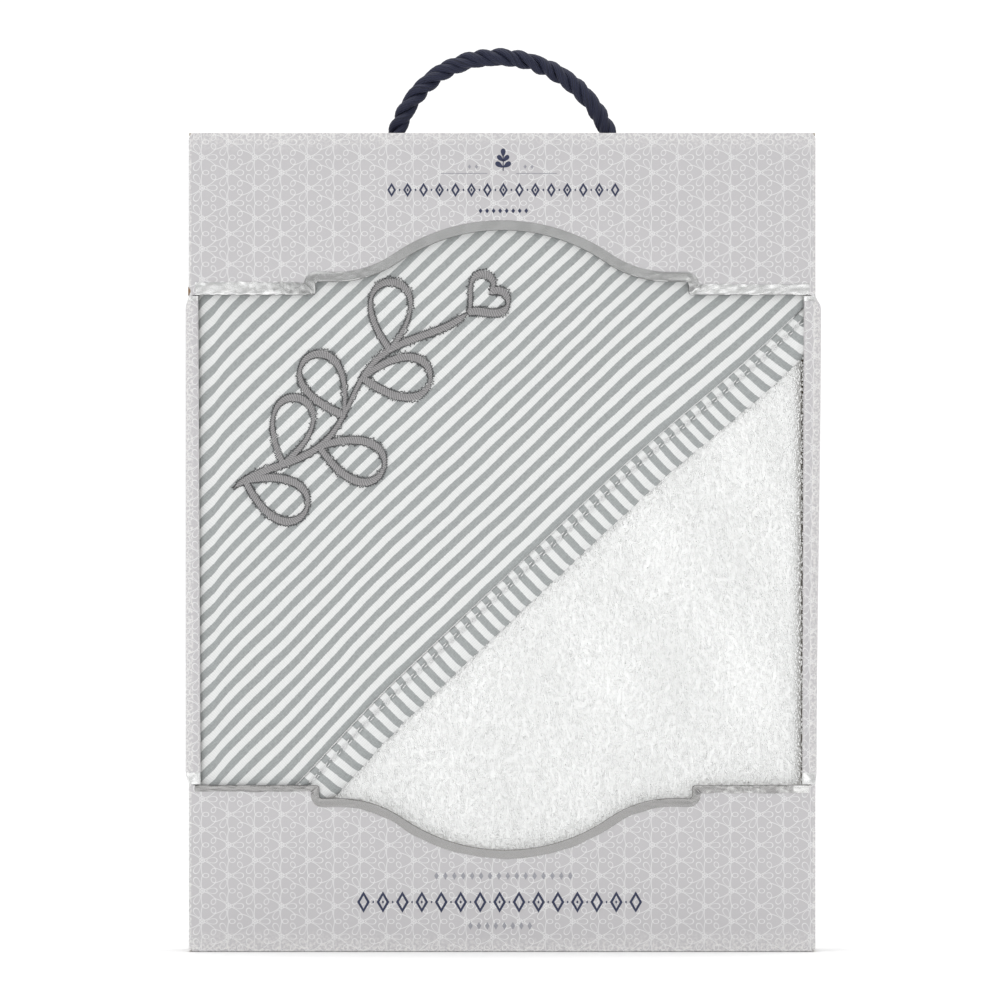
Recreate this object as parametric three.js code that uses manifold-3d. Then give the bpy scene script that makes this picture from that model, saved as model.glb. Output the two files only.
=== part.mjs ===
// A boxed hooded towel: a folding carton with a shaped front window and a twisted rope handle,
// packed with a folded terry towel whose striped hood lies behind the window.
// Millimetres, +Z up. The front faces -Y and the carton stands on Z = 0, centred on X and Y.

import * as THREE from "three";
import { mergeVertices } from "three/addons/utils/BufferGeometryUtils.js";
import Module from "manifold-3d";

// Carton
const CARTON_WIDTH = 240;
const CARTON_DEPTH = 45; // from the foil's face to the back panel's face
const CARTON_HEIGHT = 313.5; // to the top of the closed lid
const BOARD = 0.8; // thickness of the carton board
const CREASE_GAP = 0.3; // between panels that meet at a crease or at a cut
const FOIL = 0.2; // thickness of the foil trim

// Window in the front, the same curve above and below
const WINDOW_BOTTOM_MARGIN = 63.8; // from the floor up to its straight lower edge
const WINDOW_TOP_MARGIN = 62; // from the top of the lid down to its straight upper edge
const STEP_X = 71.4; // where the straight edge steps to the shoulder
const STEP_RISE = 5;
const STEP_FILLET = 1.2;
const LEAST_FILLET = 0.2; // of a corner that an offset closes up
const HUMP_HALF_WIDTH = 64; // from the middle to the foot of the curved hump
const HUMP_HEIGHT = 19.8;
const HUMP_RADIUS = 70; // of the crown; the flank's radius follows from it
const FOIL_WIDTH_TOP = 4;
const FOIL_WIDTH_BOTTOM = 3;

// Turned-in strips at the sides of the window
const RETURN_WIDTH = 4.9; // that the front shows, inside the carton's width
const RETURN_LEG = 4; // length that laps over the side panel

// Closures at the two ends
const TONGUE_LENGTH = 16;
const TONGUE_LEAN = 12.5; // degrees, so that it swings out past the front panel
const TONGUE_SIDE_CLEARANCE = 6;
const TONGUE_CORNER = 8;
const LID_FLAP_LENGTH = 40;
const LID_FLAP_FRONT_CLEARANCE = 4.5; // behind the front panel, which the tongue swings through
const LID_FLAP_BACK_CLEARANCE = 2; // from the back panel, at the crease
const LID_FLAP_TAPER = 0.5; // the back edge's run in per mm, equal to the flap's share of the lid's turn
const BASE_FLAP_LENGTH = 70;
const GLUE_TAB_WIDTH = 14;
const GLUE_TAB_END = 12; // the tab's distance from each end of the carton

// Rope handle
const ROPE_DIAMETER = 6.8;
const ROPE_ARC_RADIUS = 42.9;
const ROPE_ARC_RISE = 29.3; // of the rope's centreline above the lid
const ROPE_PIVOT_HEIGHT = 1.6; // of the line that the handle swings about, above the lid
const ROPE_SIDES = 12;
const ROPE_STEPS = 26;
const HOLE_CLEARANCE = 0.5; // round the rope in the lid
const KNOT_DIAMETER = 14;
const KNOT_LENGTH = 17;

// Folded towel and what lies round it
const SOFT_CLEARANCE = 0.4; // between the soft pieces and the board round them
const LAYER_GAP = 0.25; // between the cloth layers
const WINDOW_CLEARANCE = 0.125; // of the foremost cloth behind the carton's front
const TOWEL_SIDE_CLEARANCE = 2.2;
const TOWEL_HEADROOM = 24.7; // over the folded towel, for the knots and the tongue
const TOWEL_EDGE_ROUND = 8; // of the folded edges
const INSERT_THICKNESS = 1;
const INSERT_SIDE_CLEARANCE = 5;
const HOOD_THICKNESS = 1;
const LINING_THICKNESS = 1;
const HOOD_SIDE_CLEARANCE = 6; // from the carton's inner sides, to the flat part of the hood
const HOOD_END_CLEARANCE = 4; // from the towel's top and bottom folds, to the flat part of the hood
const HOOD_EDGE_HEIGHT = 137.9; // where the hood's seam crosses the middle of the carton
const HOOD_EDGE_ANGLE = 43.3; // degrees from level, rising to the right
const BAND_WIDTH = 14;
const BAND_THICKNESS = 2.8;
const BINDING_WIDTH = 8;
const BINDING_THICKNESS = 1.2;
const BINDING_SIDE_INSET = 28; // of the bound edges from the folds that they come round
const BINDING_TOP_INSET = 20;
const BINDING_END_INSET = 8;
const LABEL_WIDTH = 20;
const LABEL_HEIGHT = 32;
const LABEL_THICKNESS = 0.5;
const LABEL_HEIGHT_ABOVE_FLOOR = 60;

// Embroidered sprig on the hood, along a diagonal
const MOTIF_INSET = 57.1; // of its middle from the window's left side
const MOTIF_DROP = 40.5; // of its middle below the window's straight upper edge
const MOTIF_ANGLE = 42; // degrees
const MOTIF_LENGTH = 112;
const MOTIF_WAVE = 5; // half the height of the stem's wave
const MOTIF_STROKE = 3;
const MOTIF_THICKNESS = 0.35;
const STEM_POINTS = 37;
const LEAF_LENGTH = 26;
const LEAF_WIDTH = 13;
const LEAF_PAIRS = 3;
const LEAF_ANGLE = 58; // degrees from the stem
const LEAF_FIRST = -0.45; // the first leaf's place on the stem, whose ends are at -0.5 and 0.5
const LEAF_SPAN = 0.8; // share of the stem that carries leaves
const HEART_SIZE = 17;

// Places that follow
const halfWidth = CARTON_WIDTH / 2;
const sideInner = halfWidth - BOARD;
const frontFace = -CARTON_DEPTH / 2 + FOIL;
const frontInner = frontFace + BOARD;
const backFace = CARTON_DEPTH / 2;
const backInner = backFace - BOARD;
const lidUnder = CARTON_HEIGHT - BOARD;
const wallBottom = BOARD + CREASE_GAP;
const wallTop = lidUnder - CREASE_GAP;
const floorTop = 3 * BOARD + 2 * CREASE_GAP; // of the three layers of the closed base
const windowHalfWidth = halfWidth - RETURN_WIDTH;
const windowBottom = WINDOW_BOTTOM_MARGIN;
const windowTop = CARTON_HEIGHT - WINDOW_TOP_MARGIN;

const insertBack = backInner - CREASE_GAP;
const bindingBack = insertBack - INSERT_THICKNESS - SOFT_CLEARANCE;
const towelBack = bindingBack - BINDING_THICKNESS - LAYER_GAP;
const motifFront = frontInner + WINDOW_CLEARANCE;
const bandFront = motifFront;
const hoodFront = motifFront + MOTIF_THICKNESS + LAYER_GAP;
const liningFront = hoodFront + HOOD_THICKNESS + LAYER_GAP;
const towelFront = Math.max(liningFront + LINING_THICKNESS, bandFront + BAND_THICKNESS) + LAYER_GAP;
const softBottom = floorTop + SOFT_CLEARANCE;
const towelTop = lidUnder - TOWEL_HEADROOM;
const towelHalfWidth = sideInner - TOWEL_SIDE_CLEARANCE;
const hoodHalfWidth = sideInner - HOOD_SIDE_CLEARANCE;

const radians = THREE.MathUtils.degToRad;

const printedBoard = new THREE.MeshStandardMaterial({ color: 0xcfcecf, roughness: 0.75 });
const plainBoard = new THREE.MeshStandardMaterial({ color: 0xb9b4aa, roughness: 0.9 });
const foil = new THREE.MeshStandardMaterial({ color: 0xc4c4c6, roughness: 0.25, metalness: 1 });
const rope = new THREE.MeshStandardMaterial({ color: 0x202642, roughness: 0.7 });
const jersey = new THREE.MeshStandardMaterial({ color: 0xc6c8c8, roughness: 0.95 });
const terry = new THREE.MeshStandardMaterial({ color: 0xf0f2f1, roughness: 1 });
const thread = new THREE.MeshStandardMaterial({ color: 0x8f8f91, roughness: 0.6 });
const labelCloth = new THREE.MeshStandardMaterial({ color: 0xf6f6f4, roughness: 0.8 });

const wasm = await Module();
wasm.setup();

const boxedTowel = new THREE.Group();

function add(name, geometry, material) {
  const mesh = new THREE.Mesh(geometry, material);
  mesh.name = name;
  boxedTowel.add(mesh);
  return mesh;
}

// A block given by its lowest and highest X, Y and Z.
function addBlock(name, material, [x0, x1], [y0, y1], [z0, z1]) {
  const mesh = add(name, new THREE.BoxGeometry(x1 - x0, y1 - y0, z1 - z0), material);
  mesh.position.set((x0 + x1) / 2, (y0 + y1) / 2, (z0 + z1) / 2);
  return mesh;
}

// A plate drawn in X and Z, whose back lies at backY and which grows towards the front.
function addUpright(name, material, shape, backY, thickness) {
  const geometry = new THREE.ExtrudeGeometry(shape, { depth: thickness, bevelEnabled: false });
  const mesh = add(name, geometry, material);
  mesh.rotation.x = Math.PI / 2;
  mesh.position.y = backY;
  return mesh;
}

// A plate drawn in X and Y, which grows upwards from bottomZ.
function addLevel(name, material, shape, bottomZ, thickness) {
  const geometry = new THREE.ExtrudeGeometry(shape, { depth: thickness, bevelEnabled: false });
  const mesh = add(name, geometry, material);
  mesh.position.z = bottomZ;
  return mesh;
}

function polygon(...corners) {
  return new THREE.Shape(corners.map(([x, y]) => new THREE.Vector2(x, y)));
}

// Points on an arc, both ends included; angles in radians.
function arcPoints(cx, cy, radius, from, to, steps) {
  return Array.from({ length: steps + 1 }, (_, i) => {
    const angle = from + ((to - from) * i) / steps;
    return [cx + radius * Math.cos(angle), cy + radius * Math.sin(angle)];
  });
}

// Half of the window's edge from the straight part inwards to the middle, as [distance from the
// middle, rise above the straight edge], moved outwards from the window by offset.
function halfWindowEdge(offset) {
  const flank = (HUMP_HALF_WIDTH ** 2 + HUMP_HEIGHT ** 2) / (2 * HUMP_HEIGHT) - HUMP_RADIUS;
  const crownY = STEP_RISE + HUMP_HEIGHT - HUMP_RADIUS;
  const tangent = Math.atan2(STEP_RISE + flank - crownY, HUMP_HALF_WIDTH);
  const foot = Math.max(STEP_FILLET - offset, LEAST_FILLET);
  const head = STEP_FILLET + offset;
  const stepX = STEP_X + offset;
  const shoulder = STEP_RISE + offset;
  return [
    ...arcPoints(stepX + foot, offset + foot, foot, -Math.PI / 2, -Math.PI, 4),
    ...arcPoints(stepX - head, shoulder - head, head, 0, Math.PI / 2, 4),
    ...arcPoints(HUMP_HALF_WIDTH, STEP_RISE + flank, flank - offset, -Math.PI / 2, tangent - Math.PI, 10),
    ...arcPoints(0, crownY, HUMP_RADIUS + offset, tangent, Math.PI / 2, 12).slice(1),
  ];
}

// The whole edge from left to right, offset outwards, at the given height; side is 1 for the
// upper edge and -1 for the lower one.
function windowEdge(side, offset) {
  const height = side > 0 ? windowTop : windowBottom;
  const right = halfWindowEdge(offset).reverse();
  const ends = [halfWidth, offset];
  const all = [...right.map(([x, y]) => [-x, y]).reverse(), ...right.slice(1)];
  return [[-ends[0], ends[1]], ...all, ends].map(([x, y]) => [x, height + side * y]);
}

function buildFrontPanels() {
  const upper = [...windowEdge(1, 0), [halfWidth, wallTop], [-halfWidth, wallTop]];
  addUpright("front_panel_top", printedBoard, polygon(...upper), frontInner, BOARD);
  const lower = [...windowEdge(-1, 0), [halfWidth, wallBottom], [-halfWidth, wallBottom]];
  addUpright("front_panel_bottom", printedBoard, polygon(...lower.reverse()), frontInner, BOARD);
  for (const [name, side, width] of [
    ["foil_trim_top", 1, FOIL_WIDTH_TOP],
    ["foil_trim_bottom", -1, FOIL_WIDTH_BOTTOM],
  ]) {
    const band = [...windowEdge(side, 0), ...windowEdge(side, width).reverse()];
    addUpright(name, foil, polygon(...band), frontFace, FOIL);
  }
}

function buildWalls() {
  const wall = [wallBottom, wallTop];
  const depth = [frontInner + CREASE_GAP, backInner - CREASE_GAP];
  addBlock("side_panel_left", printedBoard, [-halfWidth, -sideInner], depth, wall);
  addBlock("side_panel_right", printedBoard, [sideInner, halfWidth], depth, wall);
  addBlock("back_panel", printedBoard, [-halfWidth, halfWidth], [backInner, backFace], wall);
  const tabOuter = sideInner - CREASE_GAP;
  const tabDepth = [backInner - CREASE_GAP - GLUE_TAB_WIDTH, backInner - CREASE_GAP];
  const tabHeight = [wallBottom + GLUE_TAB_END, wallTop - GLUE_TAB_END];
  addBlock("glue_seam_tab", plainBoard, [tabOuter - BOARD, tabOuter], tabDepth, tabHeight);
}

// Angle strips that close the window's sides and lap round the corners of the carton.
function buildWindowReturns() {
  const lap = halfWidth + CREASE_GAP;
  const strip = [
    [windowHalfWidth, frontFace],
    [lap + BOARD, frontFace],
    [lap + BOARD, frontFace + RETURN_LEG],
    [lap, frontFace + RETURN_LEG],
    [lap, frontInner],
    [windowHalfWidth, frontInner],
  ];
  const bottom = windowBottom + CREASE_GAP;
  const height = windowTop - CREASE_GAP - bottom;
  const mirrored = strip.map(([x, y]) => [-x, y]).reverse();
  addLevel("window_return_right", printedBoard, polygon(...strip), bottom, height);
  addLevel("window_return_left", printedBoard, polygon(...mirrored), bottom, height);
}

function buildBase() {
  addBlock("base_panel_outer", printedBoard, [-halfWidth, halfWidth], [frontFace, backFace], [0, BOARD]);
  const inside = sideInner - CREASE_GAP;
  const depth = [frontInner + CREASE_GAP, backInner - CREASE_GAP];
  const innerBottom = BOARD + CREASE_GAP;
  addBlock("base_panel_inner", plainBoard, [-inside, inside], depth, [innerBottom, innerBottom + BOARD]);
  const flapHeight = [floorTop - BOARD, floorTop];
  const flapEnd = inside - BASE_FLAP_LENGTH;
  addBlock("base_dust_flap_left", plainBoard, [-inside, -flapEnd], depth, flapHeight);
  addBlock("base_dust_flap_right", plainBoard, [flapEnd, inside], depth, flapHeight);
}

// Half the distance between the rope's legs at a height above the lid.
function ropeHalfSpan(height) {
  const fromCentre = ROPE_ARC_RADIUS - ROPE_ARC_RISE + height;
  return Math.sqrt(ROPE_ARC_RADIUS ** 2 - fromCentre ** 2);
}

function buildLid() {
  const panel = polygon(
    [-halfWidth, frontFace],
    [halfWidth, frontFace],
    [halfWidth, backFace],
    [-halfWidth, backFace],
  );
  const holeX = ropeHalfSpan(ROPE_PIVOT_HEIGHT);
  for (const x of [-holeX, holeX]) {
    const hole = new THREE.Path();
    hole.absarc(x, 0, ROPE_DIAMETER / 2 + HOLE_CLEARANCE, 0, 2 * Math.PI, true);
    panel.holes.push(hole);
  }
  addLevel("lid_panel", printedBoard, panel, lidUnder, BOARD);
  buildTongue();
  buildLidFlaps();
}

function buildTongue() {
  const half = sideInner - TONGUE_SIDE_CLEARANCE;
  const shape = new THREE.Shape();
  shape.moveTo(-half, 0);
  shape.lineTo(-half, TONGUE_CORNER - TONGUE_LENGTH);
  shape.absarc(TONGUE_CORNER - half, TONGUE_CORNER - TONGUE_LENGTH, TONGUE_CORNER, Math.PI, 1.5 * Math.PI);
  shape.lineTo(half - TONGUE_CORNER, -TONGUE_LENGTH);
  shape.absarc(half - TONGUE_CORNER, TONGUE_CORNER - TONGUE_LENGTH, TONGUE_CORNER, -Math.PI / 2, 0);
  shape.lineTo(half, 0);
  const tongue = addUpright("lid_tuck_tongue", printedBoard, shape, frontInner + CREASE_GAP + BOARD, BOARD);
  tongue.rotation.x += radians(TONGUE_LEAN);
  tongue.position.z = lidUnder - CREASE_GAP;
}

function buildLidFlaps() {
  const crease = sideInner - CREASE_GAP;
  const front = frontInner + LID_FLAP_FRONT_CLEARANCE;
  const back = backInner - LID_FLAP_BACK_CLEARANCE;
  const flap = [
    [crease, front],
    [crease, back],
    [crease - LID_FLAP_LENGTH, back - LID_FLAP_TAPER * LID_FLAP_LENGTH],
    [crease - LID_FLAP_LENGTH, front],
  ];
  const bottom = lidUnder - CREASE_GAP - BOARD;
  const mirrored = flap.map(([x, y]) => [-x, y]).reverse();
  addLevel("lid_dust_flap_right", plainBoard, polygon(...flap), bottom, BOARD);
  addLevel("lid_dust_flap_left", plainBoard, polygon(...mirrored), bottom, BOARD);
}

// The arc of the rope in X and Z, from the swing line's left end over to its right end.
class RopeArc extends THREE.Curve {
  constructor(startAngle) {
    super();
    this.startAngle = startAngle;
  }

  getPoint(t, target = new THREE.Vector3()) {
    const angle = Math.PI - this.startAngle - t * (Math.PI - 2 * this.startAngle);
    const centre = CARTON_HEIGHT + ROPE_ARC_RISE - ROPE_ARC_RADIUS;
    return target.set(ROPE_ARC_RADIUS * Math.cos(angle), 0, centre + ROPE_ARC_RADIUS * Math.sin(angle));
  }
}

function buildHandle() {
  const radius = ROPE_DIAMETER / 2;
  const pivotAngle = Math.acos(ropeHalfSpan(ROPE_PIVOT_HEIGHT) / ROPE_ARC_RADIUS);
  const startAngle = pivotAngle + (radius + CREASE_GAP) / ROPE_ARC_RADIUS;
  const section = new THREE.Shape();
  section.absarc(0, 0, radius, 0, 2 * Math.PI);
  const geometry = new THREE.ExtrudeGeometry(section, {
    steps: ROPE_STEPS,
    curveSegments: ROPE_SIDES,
    extrudePath: new RopeArc(startAngle),
  });
  add("handle_rope", geometry, rope);
  buildKnots(radius);
}

// Each knot hangs under the lid, with the rope's leg up through the hole to a round end on the
// line that the handle swings about.
function buildKnots(radius) {
  const top = lidUnder - CREASE_GAP;
  const pivotZ = CARTON_HEIGHT + ROPE_PIVOT_HEIGHT;
  const knotRadius = KNOT_DIAMETER / 2;
  const bulge = arcPoints(0, 0, 1, -Math.PI / 2, Math.PI / 3, 8);
  const middle = top - KNOT_LENGTH / (1 + Math.sin(Math.PI / 3));
  const knot = bulge.map(([x, y], i) => {
    const half = y < 0 ? middle - (top - KNOT_LENGTH) : (top - middle) / Math.sin(Math.PI / 3);
    return [i === 0 ? 0 : x * knotRadius, middle + y * half];
  });
  const leg = arcPoints(0, pivotZ, radius, 0, Math.PI / 2, 4).map(([x, y], i) => [i === 4 ? 0 : x, y]);
  const profile = [...knot, [radius, top], ...leg].map(([x, y]) => new THREE.Vector2(x, y));
  const legX = ropeHalfSpan(ROPE_PIVOT_HEIGHT);
  for (const [name, x] of [
    ["rope_knot_left", -legX],
    ["rope_knot_right", legX],
  ]) {
    const mesh = add(name, new THREE.LatheGeometry(profile, ROPE_SIDES), rope);
    mesh.rotation.x = Math.PI / 2;
    mesh.position.x = x;
  }
}

function buildInsert() {
  const half = sideInner - INSERT_SIDE_CLEARANCE;
  const depth = [insertBack - INSERT_THICKNESS, insertBack];
  addBlock("insert_board", plainBoard, [-half, half], depth, [softBottom, towelTop]);
}

// The folded towel: a block with rounded folds on every side.
function buildTowelBody() {
  const round = TOWEL_EDGE_ROUND;
  const x = towelHalfWidth - round;
  const depth = towelBack - towelFront;
  const core = polygon(
    [-x, softBottom + round],
    [x, softBottom + round],
    [x, towelTop - round],
    [-x, towelTop - round],
  );
  const geometry = new THREE.ExtrudeGeometry(core, {
    depth: depth - 2 * round,
    bevelSize: round,
    bevelThickness: round,
    bevelSegments: 5,
  });
  const mesh = add("towel_body", geometry, terry);
  mesh.rotation.x = Math.PI / 2;
  mesh.position.y = towelBack - round;
}

// Height of a line parallel to the hood's seam, moved down to the right by offset.
function hoodLine(x, offset) {
  const angle = radians(HOOD_EDGE_ANGLE);
  return HOOD_EDGE_HEIGHT + x * Math.tan(angle) - offset / Math.cos(angle);
}

// The part of a convex outline where side times its height is at least side times level.
function clip(outline, level, side) {
  return outline.flatMap(([x, y], i) => {
    const [nextX, nextY] = outline[(i + 1) % outline.length];
    const kept = side * (y - level) >= 0 ? [[x, y]] : [];
    const crosses = (y - level) * (nextY - level) < 0;
    const t = (level - y) / (nextY - y);
    return crosses ? [...kept, [x + t * (nextX - x), level]] : kept;
  });
}

// The outline between two lines parallel to the hood's seam, kept to the flat front of the towel.
function hoodStrip(upperOffset, lowerOffset) {
  const x = hoodHalfWidth;
  const strip = [
    [-x, hoodLine(-x, lowerOffset)],
    [x, hoodLine(x, lowerOffset)],
    [x, hoodLine(x, upperOffset)],
    [-x, hoodLine(-x, upperOffset)],
  ];
  const above = clip(strip, softBottom + HOOD_END_CLEARANCE, 1);
  return polygon(...clip(above, towelTop - HOOD_END_CLEARANCE, -1));
}

function buildHood() {
  const beyondTop = -CARTON_WIDTH - CARTON_HEIGHT;
  const hood = hoodStrip(beyondTop, -LAYER_GAP);
  addUpright("hood_panel", jersey, hood, hoodFront + HOOD_THICKNESS, HOOD_THICKNESS);
  addUpright("hood_lining", terry, hood, liningFront + LINING_THICKNESS, LINING_THICKNESS);
  const band = hoodStrip(0, BAND_WIDTH);
  addUpright("hood_trim_band", jersey, band, bandFront + BAND_THICKNESS, BAND_THICKNESS);
}

// The bound edges of the towel that come round its left and top folds, and the blank label.
function buildBindingAndLabel() {
  const left = BINDING_SIDE_INSET - towelHalfWidth;
  const right = towelHalfWidth - BINDING_END_INSET;
  const top = towelTop - BINDING_TOP_INSET;
  const bottom = softBottom + BINDING_END_INSET;
  const binding = polygon(
    [left, bottom],
    [left + BINDING_WIDTH, bottom],
    [left + BINDING_WIDTH, top - BINDING_WIDTH],
    [right, top - BINDING_WIDTH],
    [right, top],
    [left, top],
  );
  addUpright("towel_edge_binding", jersey, binding, bindingBack, BINDING_THICKNESS);
  const labelLeft = left + BINDING_WIDTH + LAYER_GAP;
  const labelDepth = [towelBack + LAYER_GAP, towelBack + LAYER_GAP + LABEL_THICKNESS];
  const labelBottom = LABEL_HEIGHT_ABOVE_FLOOR;
  addBlock("care_label", labelCloth, [labelLeft, labelLeft + LABEL_WIDTH], labelDepth, [
    labelBottom,
    labelBottom + LABEL_HEIGHT,
  ]);
}

function solidOf(geometry) {
  geometry.deleteAttribute("normal");
  geometry.deleteAttribute("uv");
  const merged = mergeVertices(geometry, 1e-4);
  return new wasm.Manifold(
    new wasm.Mesh({
      numProp: 3,
      vertProperties: merged.getAttribute("position").array,
      triVerts: new Uint32Array(merged.index.array),
    }),
  );
}

function geometryOf(solid) {
  const { vertProperties, triVerts } = solid.getMesh();
  const geometry = new THREE.BufferGeometry();
  geometry.setAttribute("position", new THREE.BufferAttribute(vertProperties, 3));
  geometry.setIndex(new THREE.BufferAttribute(triVerts, 1));
  geometry.computeVertexNormals();
  return geometry;
}

// Points beside an open path of Vector2, on its left where side is positive.
function beside(path, side) {
  return path.map((point, i) => {
    const before = path[Math.max(i - 1, 0)];
    const after = path[Math.min(i + 1, path.length - 1)];
    const along = after.clone().sub(before).normalize();
    return new THREE.Vector2(point.x - along.y * side, point.y + along.x * side);
  });
}

function slab(outline) {
  const shape = new THREE.Shape(outline);
  return solidOf(new THREE.ExtrudeGeometry(shape, { depth: MOTIF_THICKNESS, bevelEnabled: false }));
}

// A raised stroke of satin stitch along an open path.
function stroke(path) {
  return slab([...beside(path, -MOTIF_STROKE / 2), ...beside(path, MOTIF_STROKE / 2).reverse()]);
}

// A raised stroke round a closed outline, which outlineAt gives at any growth outwards.
function ring(outlineAt) {
  const solid = slab(outlineAt(MOTIF_STROKE / 2));
  const hollow = slab(outlineAt(-MOTIF_STROKE / 2));
  return solid.subtract(hollow.scale([1, 1, 3]).translate([0, 0, -MOTIF_THICKNESS]));
}

// A closed outline from evenly spaced angles, each mapped to a point by place.
function outline(count, place) {
  return Array.from({ length: count }, (_, i) => place((2 * Math.PI * (i + 0.5)) / count));
}

function stemPoint(s) {
  return new THREE.Vector2(s * MOTIF_LENGTH, MOTIF_WAVE * Math.sin(3 * Math.PI * s));
}

// A leaf's outline, pointed where it leaves the stem at s and turned to the side given.
function leaf(s, side, grow) {
  const turn = side * radians(LEAF_ANGLE);
  return outline(30, (angle) => {
    const along = LEAF_LENGTH / 2 - (LEAF_LENGTH / 2 + grow) * Math.cos(angle);
    const across = (LEAF_WIDTH * 0.77 + grow) * Math.sin(angle) * Math.sin(angle / 2);
    return new THREE.Vector2(along, across).rotateAround(new THREE.Vector2(), turn).add(stemPoint(s));
  });
}

// A heart whose point meets the end of the stem.
function heart(grow) {
  const unit = (HEART_SIZE + 2 * grow) / 32;
  return outline(36, (angle) => {
    const across = 16 * Math.sin(-angle) ** 3;
    const up = 13 * Math.cos(angle) - 5 * Math.cos(2 * angle) - 2 * Math.cos(3 * angle) - Math.cos(4 * angle);
    return new THREE.Vector2(unit * up + HEART_SIZE / 2, unit * across).add(stemPoint(0.5));
  });
}

function buildMotif() {
  const stem = Array.from({ length: STEM_POINTS }, (_, i) => stemPoint(i / (STEM_POINTS - 1) - 0.5));
  let solid = stroke(stem).add(ring(heart));
  for (let pair = 0; pair < LEAF_PAIRS; pair += 1) {
    for (const side of [-1, 1]) {
      const s = LEAF_FIRST + (pair + (side > 0 ? 0.5 : 0)) * (LEAF_SPAN / LEAF_PAIRS);
      solid = solid.add(ring((grow) => leaf(s, side, grow)));
    }
  }
  const mesh = add("embroidered_motif", geometryOf(solid), thread);
  mesh.rotation.x = Math.PI / 2;
  mesh.rotateZ(radians(MOTIF_ANGLE));
  const x = MOTIF_INSET - windowHalfWidth;
  mesh.position.set(x, motifFront + MOTIF_THICKNESS, windowTop - MOTIF_DROP);
}

buildFrontPanels();
buildWalls();
buildWindowReturns();
buildBase();
buildLid();
buildHandle();
buildInsert();
buildTowelBody();
buildHood();
buildBindingAndLabel();
buildMotif();

export default boxedTowel;
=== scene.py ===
"""A hooded terry towel, folded into an upright gift carton with a shaped window and a rope handle.

Lengths in the classes are millimetres in the part's frame: X to the right, Y to the back, Z up.
"""

import logging
from dataclasses import dataclass, field
from enum import Enum
from math import atan2, cos, pi, radians, sin, sqrt, tan

import bmesh
import bpy
import numpy as np
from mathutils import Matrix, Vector
from mathutils.geometry import tessellate_polygon


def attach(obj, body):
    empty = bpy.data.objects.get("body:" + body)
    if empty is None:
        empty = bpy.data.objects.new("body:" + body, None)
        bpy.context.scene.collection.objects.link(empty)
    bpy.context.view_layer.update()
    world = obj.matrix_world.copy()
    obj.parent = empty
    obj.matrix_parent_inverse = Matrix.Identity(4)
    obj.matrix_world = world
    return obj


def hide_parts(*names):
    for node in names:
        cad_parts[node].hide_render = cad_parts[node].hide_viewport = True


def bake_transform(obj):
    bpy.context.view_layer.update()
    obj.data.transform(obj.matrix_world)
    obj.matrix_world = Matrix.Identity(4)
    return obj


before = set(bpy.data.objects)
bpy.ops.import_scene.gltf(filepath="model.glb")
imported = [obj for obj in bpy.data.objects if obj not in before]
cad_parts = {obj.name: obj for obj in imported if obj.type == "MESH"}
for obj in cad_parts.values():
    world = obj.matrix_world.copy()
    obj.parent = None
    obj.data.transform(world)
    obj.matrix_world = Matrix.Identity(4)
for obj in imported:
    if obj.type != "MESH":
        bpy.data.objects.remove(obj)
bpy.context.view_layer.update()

MM = 0.001
log = logging.getLogger("towel")

Array = np.ndarray
Object = bpy.types.Object
Material = bpy.types.Material
Socket = bpy.types.NodeSocket
Value = float | tuple | Socket


class Body(Enum):
    """The CAD bodies that pieces ride on."""

    CARTON = "carton"
    LID = "lid"
    LEFT_FLAP = "left_flap"
    RIGHT_FLAP = "right_flap"
    HANDLE = "handle"


class Slot(Enum):
    """The record's material slots."""

    PRINTED = "printed_board"
    PLAIN = "plain_board"
    FOIL = "foil"
    ROPE = "rope"
    JERSEY = "jersey"
    TERRY = "terry"
    THREAD = "thread"
    LABEL = "label_cloth"


class Side(Enum):
    """The left or right side, with its sign along X."""

    LEFT = -1
    RIGHT = 1


# ---- numbers


def smoothstep(values: Array, low: float, high: float) -> Array:
    """A smooth rise from 0 where values are low or less to 1 where they are high or more."""
    t = np.clip((np.asarray(values, float) - low) / (high - low), 0, 1)
    return t * t * (3 - 2 * t)


def ripple(a: Array, b: Array, seed: int, wave: float) -> Array:
    """Gentle unevenness, from a few crossed waves.

    Args:
        a: first coordinate.
        b: second coordinate.
        seed: picks the waves.
        wave: their usual length.

    Returns:
        Heights that stay within about -1 to 1.
    """
    rng = np.random.default_rng(seed)
    total = np.zeros(np.broadcast(a, b).shape)
    for _ in range(6):
        turn, phase, stretch = rng.random(3)
        k = 2 * pi / (wave * (0.6 + 0.9 * stretch))
        total = total + np.sin(k * (a * cos(2 * pi * turn) + b * sin(2 * pi * turn)) + 6.28 * phase)
    return total / 3.2


def arc(cx: float, cy: float, radius: float, start: float, end: float, steps: int) -> list[tuple]:
    """Points along a circle's arc, with its angles in radians, as steps + 1 points."""
    angles = np.linspace(start, end, steps + 1)
    return [(cx + radius * cos(a), cy + radius * sin(a)) for a in angles]


def lengths(line: Array) -> Array:
    """The distance from a line's start to each of its points."""
    return np.concatenate([[0], np.cumsum(np.linalg.norm(np.diff(line, axis=0), axis=1))])


def grid_faces(rows: int, columns: int, start: int = 0, wrap: bool = False) -> Array:
    """The quads of a grid of points stored row by row.

    Args:
        rows: number of rows.
        columns: number of columns.
        start: index of the first point.
        wrap: whether the last column joins the first.

    Returns:
        An array of four indices for each quad.
    """
    r, c = np.meshgrid(np.arange(rows - 1), np.arange(columns if wrap else columns - 1), indexing="ij")
    n = (c + 1) % columns
    quads = np.stack([r * columns + c, r * columns + n, (r + 1) * columns + n, (r + 1) * columns + c], -1)
    return quads.reshape(-1, 4) + start


# ---- meshes


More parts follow.
